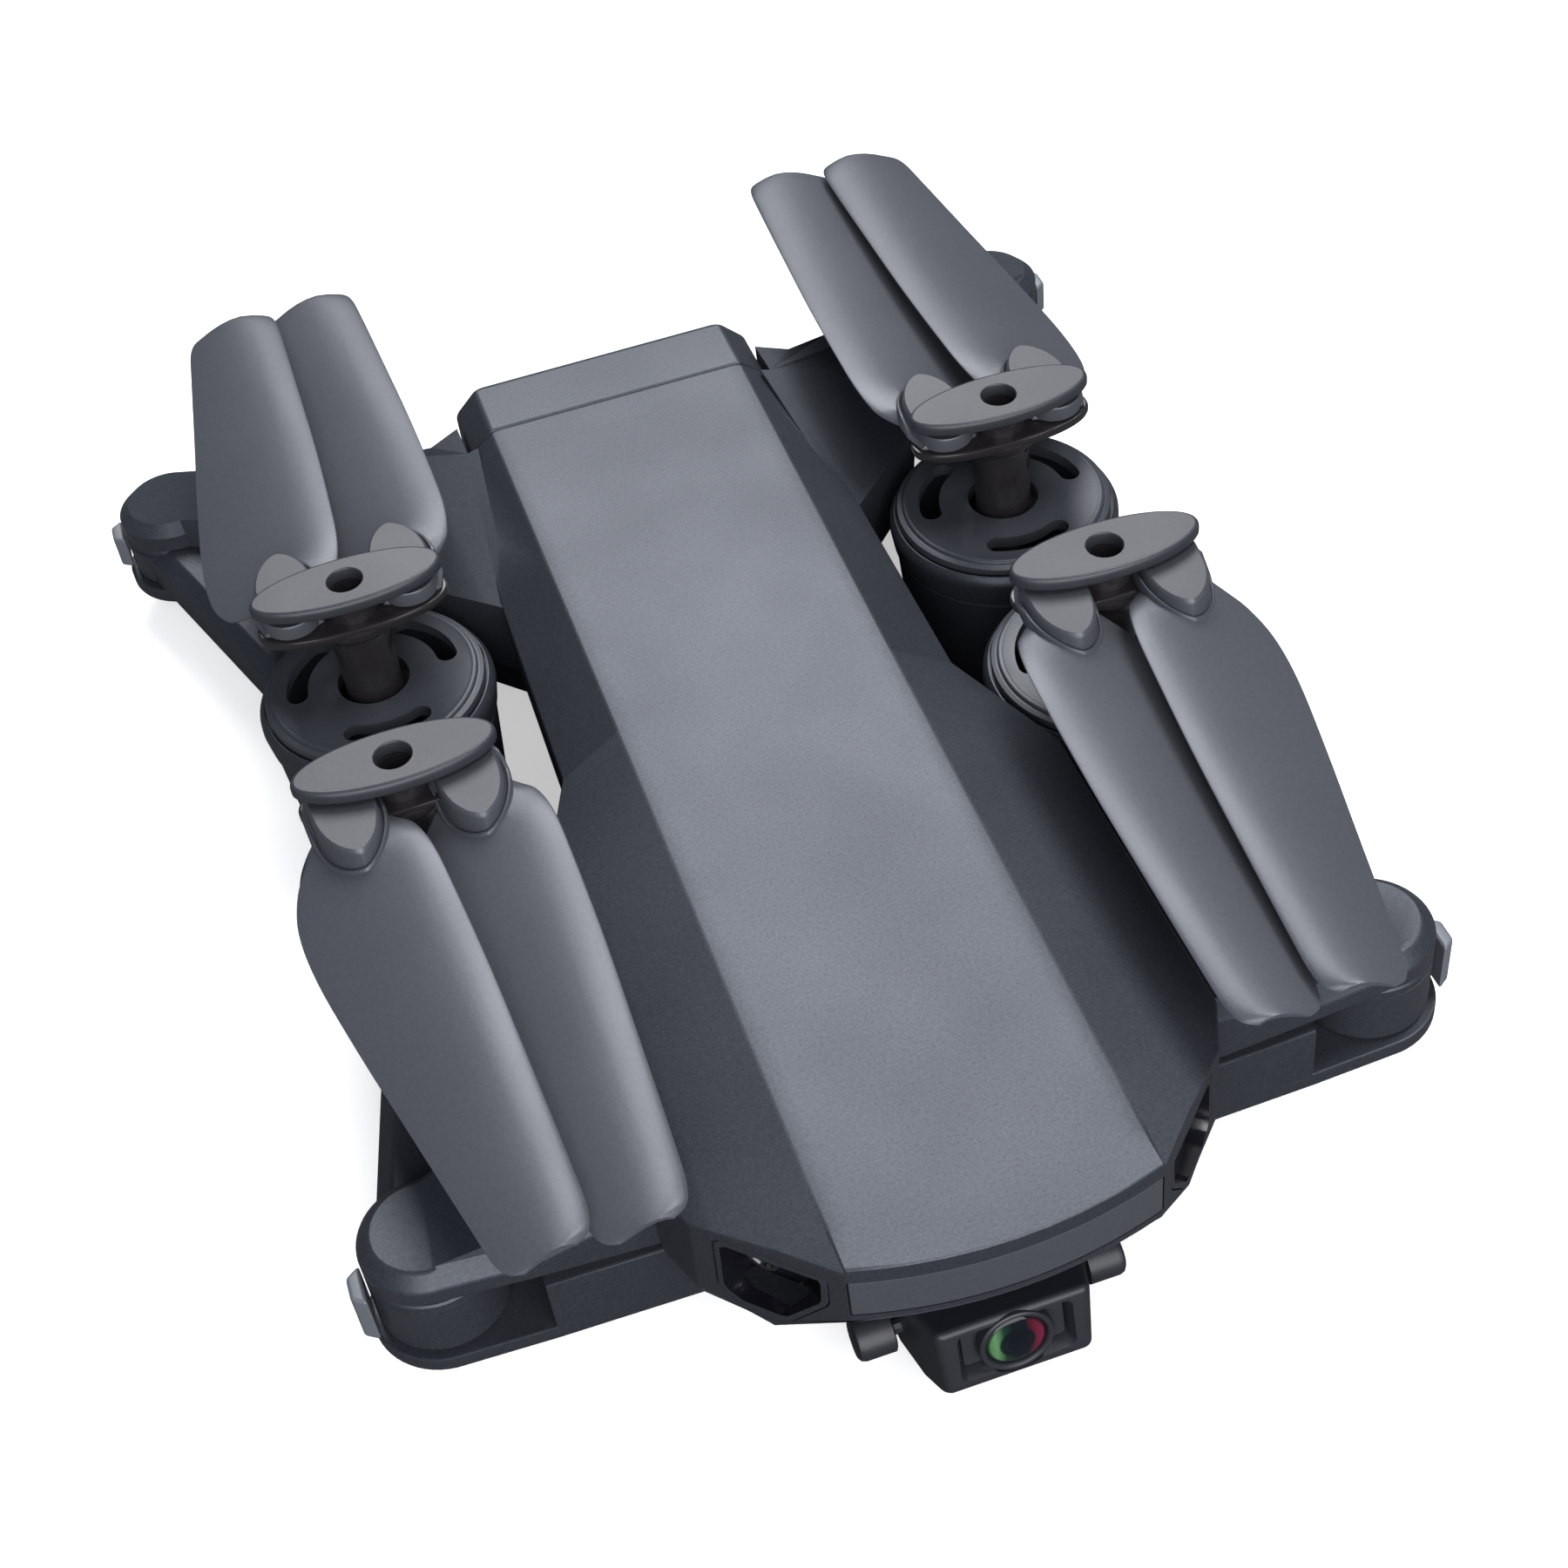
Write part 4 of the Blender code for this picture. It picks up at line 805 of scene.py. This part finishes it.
def arm(corner, sign):
    hinge, (under, _, _) = EARS[corner.split("_")[0]]
    pod = PODS[corner.split("_")[0]]
    top = under - 0.2
    run = (Vector(pod) - Vector(hinge)).normalized()
    aside = Vector((-run.y, run.x))
    section = [(-BEAM_HALF, ROOT_LOW), (BEAM_HALF, ROOT_LOW), (BEAM_HALF, top - 2.6),
               (BEAM_HALF - 2.6, top),
               (2.6 - BEAM_HALF, top), (-BEAM_HALF, top - 2.6)]
    rings = [[(sign * (p.x + aside.x * w), p.y + aside.y * w, z) for w, z in section]
             for p in (Vector(hinge), Vector(pod) - run * 4.0)]
    body = lofted("folding_arm_" + corner, rings)
    rounded(body, 0.5, segments=3)
    knuckle = [(0.0, ROOT_LOW), (8.1, ROOT_LOW), (BOSS_R, ROOT_LOW + 0.4), (BOSS_R, top - 1.5),
               (8.15, top - 1.35),
               (8.15, top - 0.9), (BOSS_R, top - 0.75), (BOSS_R, top - 0.25), (8.25, top), (0.0, top)]
    merged(body, turned("knuckle", (sign * hinge[0], hinge[1]), knuckle, 72))
    centre = (sign * pod[0], pod[1])
    merged(body, turned("pod", centre, pod_profile))
    merged(body, turned("well", centre, well_profile), "DIFFERENCE")
    smooth(body, 30.0)
    finished(body, SHELL, "arm_" + corner, "arm_" + corner)

    lid = turned("pod_lid_" + corner, centre, cover_profile)
    merged(lid, turned("hub_hole", centre, [(0.0, 18.0), (5.3, 18.0), (5.3, 26.0), (0.0, 26.0)], 64),
           "DIFFERENCE")
    for turn in (-90.0, 30.0, 150.0):
        merged(lid, lofted("slot", [level(kidney(centre, turn), z) for z in (18.0, 26.0)]), "DIFFERENCE")
    rounded(lid, 0.18, segments=2, angle=50.0)
    smooth(lid, 40.0)
    finished(lid, COVER, "arm_" + corner, "pod_cover_" + corner)

    near, far = hinge[0] + BOSS_R + 0.3, hinge[0] + BOSS_R + 2.2
    y = hinge[1] - 1.6 if corner.startswith("front") else hinge[1] + 1.6
    tab = sided([(near, y - 3.0), (far, y - 1.7), (far, y + 1.7), (near, y + 3.0)], sign)
    lamp = lofted("lamp_" + corner, [level(tab, z) for z in (3.6, under - 0.8)])
    rounded(lamp, 0.5, segments=3)
    smooth(lamp)
    finished(lamp, LAMP, "arm_" + corner, "arm_lamp_" + corner)


for corner, sign in CORNERS.items():
    arm(corner, sign)

# %% [markdown]
# A propeller is a sandwich: a carrier plate on a collar below, an oval clamp plate above, and the two
# blade eyes between them, each on its own pin. The plates are ovals with blunt ends, which a rounded
# ellipse formula gives, and their rims are the brightest line on the whole propeller, so they are lofted
# with a fine round edge.

# %% Hubs and clamp plates
PLATE_LENGTH, PLATE_WIDTH, PIN_REACH = 27.5, 10.4, 8.5
CLAMP_LOW, CLAMP_TOP, CARRIER_LOW, CARRIER_TOP = 40.2, 42.2, 35.5, 37.1
BARREL_LOW, BARREL_TOP = 37.4, 39.9


def oval(centre, blunt, shrink=0.0, count=96):
    """An oval along X with blunter ends for a higher number."""
    points = []
    for i in range(count):
        c, s = math.cos(2.0 * math.pi * i / count), math.sin(2.0 * math.pi * i / count)
        points.append((centre[0] + (PLATE_LENGTH / 2 - shrink) * math.copysign(abs(c) ** (2.0 / blunt),
                                                                               c),
                       centre[1] + (PLATE_WIDTH / 2 - shrink) * math.copysign(abs(s) ** (2.0 / blunt),
                                                                              s)))
    return points


def hub(corner, centre):
    carrier = [(CARRIER_LOW, 0.5), (CARRIER_LOW + 0.15, 0.15), (CARRIER_LOW + 0.5, 0.0),
               (CARRIER_TOP - 0.5, 0.0),
               (CARRIER_TOP - 0.15, 0.15), (CARRIER_TOP, 0.5)]
    body = lofted("hub_" + corner, [level(oval(centre, 2.3, shrink), z) for z, shrink in carrier])
    collar = [(0.0, 12.0), (1.0, 12.0), (1.0, 17.2), (3.7, 17.2), (4.2, 17.7), (4.2, 32.6), (4.35, 33.6),
              (4.9, 34.6),
              (5.6, 35.2), (5.6, 36.0), (0.0, 36.0)]
    merged(body, turned("collar", centre, collar, 64))
    merged(body, turned("post", centre,
                        [(0.0, 36.0), (3.8, 36.0), (3.8, CLAMP_LOW - 0.2), (0.0, CLAMP_LOW - 0.2)], 48))
    merged(body, turned("recess", centre, [(0.0, 36.8), (2.4, 36.8), (2.4, 44.0), (0.0, 44.0)], 48),
           "DIFFERENCE")
    for side_sign in (1, -1):
        pin = (centre[0] + side_sign * PIN_REACH, centre[1])
        merged(body, turned("hole", pin, [(0.0, 30.0), (1.8, 30.0), (1.8, 44.0), (0.0, 44.0)], 32),
               "DIFFERENCE")
    smooth(body, 40.0)
    finished(body, GLOSS, "prop_" + corner, "prop_hub_" + corner)


def clamp(corner, centre):
    layers = [(CLAMP_LOW, 0.53), (CLAMP_LOW, 0.45), (CLAMP_LOW + 0.12, 0.15), (CLAMP_LOW + 0.4, 0.0),
              (CLAMP_TOP - 0.75, 0.0),
              (CLAMP_TOP - 0.4, 0.08), (CLAMP_TOP - 0.15, 0.25), (CLAMP_TOP, 0.6), (CLAMP_TOP, 0.68)]
    body = lofted("clamp_" + corner, [level(oval(centre, 2.0, shrink), z) for z, shrink in layers])
    mouth = [(0.0, 36.0), (2.5, 36.0), (2.5, CLAMP_TOP - 0.3), (2.6, CLAMP_TOP - 0.1),
             (2.85, CLAMP_TOP + 0.1),
             (0.0, CLAMP_TOP + 0.1)]
    merged(body, turned("recess", centre, mouth, 64), "DIFFERENCE")
    peg = [(0.0, 33.9), (1.9, 33.9), (2.2, 34.2), (2.2, 35.35), (1.5, 35.35), (1.5, CLAMP_LOW + 0.6),
           (0.0, CLAMP_LOW + 0.6)]
    for side_sign in (1, -1):
        merged(body, turned("peg", (centre[0] + side_sign * PIN_REACH, centre[1]), peg, 32))
    smooth(body, 40.0)
    finished(body, PLATE, "prop_" + corner, "prop_clamp_" + corner)


for corner, sign in CORNERS.items():
    pod = PODS[corner.split("_")[0]]
    hub(corner, (sign * pod[0], pod[1]))
    clamp(corner, (sign * pod[0], pod[1]))

# %% [markdown]
# A blade is a thin, twisted and cambered paddle. Its section is drawn once as a flat teardrop between a
# trailing and a leading edge, and repeated at stations from root to tip. The stations only hold the
# edges' places and heights, and a smooth curve through them fills in the rest, so the paddle has no flats.
# At its root a raised, pointed shield covers the eye that the pin goes through, with a moulded step and a
# ridge round it. Its flat top, where its faces point up, takes the darker plate finish as painted shade.

# %% Blades
BLADE_STATIONS = [  # distance from pin, trailing edge, leading edge, their heights, thickness
    (5.2, -4.6, 4.8, 36.0, 37.9, 1.5), (7.0, -7.0, 6.3, 34.2, 38.2, 1.4),
    (9.5, -9.2, 7.8, 32.7, 38.8, 1.3),
    (15.0, -10.9, 8.7, 31.7, 39.4, 1.2), (24.0, -11.0, 8.8, 31.7, 39.3, 1.1),
    (38.0, -9.6, 8.6, 32.2, 38.9, 1.0),
    (54.0, -7.6, 8.0, 33.0, 38.4, 0.9), (70.0, -5.6, 7.3, 33.9, 37.9, 0.8),
    (75.0, -4.9, 6.9, 34.2, 37.7, 0.8),
    (77.4, -3.9, 6.0, 34.5, 37.5, 0.7), (78.4, -2.2, 4.2, 34.9, 37.2, 0.6)]
BLADE_REACH = 78.5
SHIELD_REACH = 14.0
TIP_GROWTH = {"front": 0.0, "rear": 1.5}
LEAN = {("front", "outer"): 5.7, ("front", "inner"): 1.3, ("rear", "outer"): 1.6, ("rear", "inner"): -1.6}
SECTION = [0.0, 0.02, 0.08, 0.2, 0.36, 0.54, 0.72, 0.86, 0.95, 0.99]     # places across the blade
CAMBER = 0.55


def catmull(a, b, c, d, t):
    """A point on a smooth curve from b to c."""
    return tuple(0.5 * (2.0 * q + (r - p) * t + (2.0 * p - 5.0 * q + 4.0 * r - s) * t * t
                        + (3.0 * q - p - 3.0 * r + s) * t ** 3) for p, q, r, s in zip(a, b, c, d))


def finer(stations, steps):
    """The stations with a smooth curve's points between them."""
    padded = [stations[0], *stations, stations[-1]]
    rows = []
    for k in range(len(stations) - 1):
        rows += [catmull(*padded[k:k + 4], i / steps) for i in range(steps)]
    return [*rows, stations[-1]]


def blade_section(trail, lead, trail_z, lead_z, thick):
    """A cambered teardrop, as (across, height), along its top and back along its underside."""
    def at(t, lift):
        arch = CAMBER * math.sin(math.pi * t) - 1.1 * t ** 6
        return (trail + (lead - trail) * t, trail_z + (lead_z - trail_z) * t + arch + lift)
    def half_thickness(t):
        return thick * (0.5 - 0.42 * abs(2.0 * t - 1.0) ** 3)
    top = [at(t, half_thickness(t)) for t in SECTION] + [at(1.0, 0.0)]
    under = [at(t, -half_thickness(t)) for t in reversed(SECTION)]
    return top + under


ROWS = finer(BLADE_STATIONS, 5)


def surface_height(out, across):
    """Height of the blade's middle surface at a place near its root."""
    row = min(ROWS, key=lambda station: abs(station[0] - out))
    t = (across - row[1]) / (row[2] - row[1])
    return row[3] + (row[4] - row[3]) * t + CAMBER * math.sin(math.pi * min(max(t, 0.0), 1.0))


def shield_outline(grow):
    """A blunt-pointed oval round the eye, as (across, out), grown by some millimetres."""
    half = 4.3 + grow
    tip = 13.0 + grow
    sides = []
    for i in range(29):
        c, s = math.cos(math.pi * i / 28), math.sin(math.pi * i / 28)
        sides.append((half * math.copysign(abs(c) ** 1.25, c), 5.0 + (tip - 5.0) * s))
    heel = [(-half, 1.5), (-half * 0.8, -1.8), (0.0, -3.2 - grow * 0.3), (half * 0.8, -1.8), (half, 1.5)]
    return sides + heel


def blade(name, body, node, pin, sign, fold, lean, growth):
    turn = math.radians(lean)

    def laid(points):
        """Points of (inboard, out, height), turned by the lean and put on the pin."""
        put = []
        for inboard, out, z in points:
            u = inboard * math.cos(turn) + out * math.sin(turn)
            v = out * math.cos(turn) - inboard * math.sin(turn)
            put.append((pin[0] - sign * u, pin[1] + fold * v, z))
        return put

    rings = []
    for out, trail, lead, *rest in ROWS:
        wider = growth * out / BLADE_REACH
        rings.append(laid([(u, out, z) for u, z in blade_section(trail - wider, lead + wider, *rest)]))
    paddle = lofted(name, rings)
    steps = [(0.95, None, -1.2), (0.95, None, 0.55), (0.75, None, 0.95), (0.5, None, 0.95),
             (0.32, None, 0.6),
             (0.2, None, 0.45), (0.0, 39.1, 0.0), (-0.12, 39.6, 0.0), (-0.45, BARREL_TOP, 0.0)]
    shield_rings = []
    for number, (grow, flat, lift) in enumerate(steps):
        outline = shield_outline(grow)
        if flat is None:
            heel_z = BARREL_LOW + 0.15 * number
            points = [(u, v, min(surface_height(v, u) + lift, 39.0)) if v > 4.5 else (u, v, heel_z)
                      for u, v in outline]
        else:
            points = [(u, v, flat) for u, v in outline]
        shield_rings.append(laid(points))
    merged(paddle, lofted("shield", shield_rings))
    eye = turned("eye", pin, [(0.0, BARREL_LOW - 0.07), (3.8, BARREL_LOW - 0.07),
                              (4.05, BARREL_LOW + 0.2),
                              (4.05, BARREL_TOP - 0.4), (3.85, BARREL_TOP - 0.13),
                              (0.0, BARREL_TOP - 0.13)], 48)
    merged(paddle, eye)
    merged(paddle, turned("bore", pin, [(0.0, 30.0), (1.8, 30.0), (1.8, 45.0), (0.0, 45.0)], 32),
           "DIFFERENCE")
    smooth(paddle, 38.0)
    finished(paddle, BLADE, body, node)
    # The shield's flat top, picked by its faces pointing up near the eye, takes the darker plate finish: painted
    # shade on the blade's own moulding.
    paddle.data.materials.append(PLATE)
    eye_spot = place(pin[0], pin[1], BARREL_TOP)
    for face in paddle.data.polygons:
        near_eye = (Vector(face.center).xy - Vector(eye_spot).xy).length < SHIELD_REACH * MM
        if near_eye and face.normal.z > 0.97 and face.center.z > eye_spot[2] - MM:
            face.material_index = 1


for corner, sign in CORNERS.items():
    end = corner.split("_")[0]
    pod = PODS[end]
    fold = -1 if end == "front" else 1
    for word, side_sign in (("inner", -1), ("outer", 1)):
        pin = (sign * (pod[0] + side_sign * PIN_REACH), pod[1])
        blade(f"paddle_{word}_{corner}", f"blade_{word}_{corner}", f"blade_{word}_{corner}", pin, sign,
              fold,
              LEAN[end, word], TIP_GROWTH[end])

# %% [markdown]
# The camera hangs under the nose between two round cheeks. Its housing is a soft-edged block that narrows
# towards a recessed face, with the lens ring standing in the recess and a bright ledge under it.

# %% Camera housing
axis_y, axis_z = TILT_AXIS
side_profile = [(-11.3, 0.1), (-10.2, -1.5), (-6.0, -3.3), (0.0, -3.8), (2.7, -2.7), (3.6, 0.0),
                (2.7, 2.7),
                (-1.6, 7.9), (-9.6, 10.5)]
housing_rings = []
for side_sign in (-1, 1):
    housing_rings.append([(side_sign * (11.9 if y > -2.0 else 11.9 + (y + 2.0) * 0.29), axis_y + y,
                           axis_z + z)
                          for y, z in side_profile])
housing = lofted("camera_body", housing_rings)
rounded(housing, 1.15, segments=5, angle=30.0)


def rounded_window(half_wide, half_high, corner_radius, out):
    """A rectangle with round corners on the camera's face."""
    ring = []
    for u_sign, v_sign, start in ((1, 1, 0.0), (-1, 1, 90.0), (-1, -1, 180.0), (1, -1, 270.0)):
        middle = (u_sign * (half_wide - corner_radius), v_sign * (half_high - corner_radius))
        ring += [face_point(u, v, out) for u, v in arc(middle, corner_radius, start, start + 90.0, 7)]
    return ring


def face_turned(name, stations, count=72):
    """A round solid about the lens axis, from (radius, out) pairs."""
    rings = [[face_point(u, v, out) for u, v in circle((0.0, 0.0), max(radius, POLE_R), count)]
             for radius, out in stations]
    return lofted(name, rings)


merged(housing, lofted("recess", [rounded_window(6.7, 3.2, 0.7, -2.2),
                                  rounded_window(6.9, 3.5, 0.9, -1.0),
                                  rounded_window(7.5, 4.3, 1.2, 0.4),
                                  rounded_window(7.5, 4.3, 1.2, 3.0)]),
       "DIFFERENCE")
merged(housing, face_turned("ring_seat",
                            [(0.0, -6.7), (3.2, -6.7), (3.2, -2.0), (5.0, -2.0), (5.0, 3.0), (0.0, 3.0)]),
       "DIFFERENCE")
smooth(housing, 30.0)
finished(housing, DARK, "camera", "camera_housing")
plate_piece = lofted("camera_face_plate",
                     [rounded_window(6.5, 3.05, 0.6, -2.1), rounded_window(6.5, 3.05, 0.6, -1.5)])
rounded(plate_piece, 0.12, segments=2, angle=50.0)
merged(plate_piece, face_turned("plate_hole", [(0.0, -4.0), (3.2, -4.0), (3.2, 3.0), (0.0, 3.0)]),
       "DIFFERENCE")
smooth(plate_piece)
finished(plate_piece, DARK, "camera", "camera_bezel")
barrel = face_turned("lens_ring", [
    (0.0, -6.4), (2.9, -6.4), (2.9, -1.6), (4.6, -1.6), (4.8, -1.4), (4.8, -0.35), (4.7, -0.05),
    (4.5, 0.1),
    (4.2, 0.06), (4.0, -0.1), (3.92, -0.3), (3.88, -0.85), (0.0, -0.85)])
smooth(barrel, 30.0)
finished(barrel, DARK, "camera", "camera_barrel")
glass = face_turned("lens_dome", [(0.0, -0.8), (3.8, -0.8), (3.82, -0.5), (3.7, -0.34), (3.4, -0.2),
                                  (2.8, 0.0),
                                  (1.9, 0.18), (1.0, 0.28), (0.4, 0.31), (0.0, 0.315)])
smooth(glass, 40.0)
finished(glass, LENS, "camera", "camera_lens")

# %% [markdown]
# The bracket holds the camera from behind: a bar across, and at each end a strut and a round cheek that
# the tilt axle turns in. The cheeks are drums along the axle, lofted from circles that shrink at the
# rim, because a moulded drum never ends in a sharp edge.

# %% Camera bracket
cheek = [(3.0 * math.cos(2.0 * math.pi * i / 28), 3.0 * math.sin(2.0 * math.pi * i / 28))
         for i in range(28)]


def cheek_piece(side_sign):
    levels = ((12.5, 0.85), (12.7, 0.97), (16.6, 0.97), (17.2, 0.9), (17.5, 0.75))
    return lofted("cheek", [[(side_sign * x, axis_y + y * s, axis_z + z * s) for y, z in cheek] for x,
                            s in levels])


bridge = [(7.5, -0.8), (5.0, 2.0), (4.0, 1.3), (6.5, -1.7)]
mount = lofted("camera_cradle", [[(x, axis_y + y, axis_z + z) for y, z in bridge] for x in (-16.0, 16.0)])
rounded(mount, 0.3, segments=2)
for side_sign in (1, -1):
    strut = [(0.0, 2.4), (-1.2, 0.0), (0.0, -2.4), (6.4, -1.6), (5.0, 2.0)]
    joiner = lofted("strut", [[(side_sign * x, axis_y + y, axis_z + z) for y, z in strut]
                              for x in (13.0, 16.0)])
    rounded(joiner, 0.4, segments=2)
    merged(mount, joiner)
    merged(mount, cheek_piece(side_sign))
smooth(mount, 35.0)
finished(mount, DARK, "root", "camera_bracket")
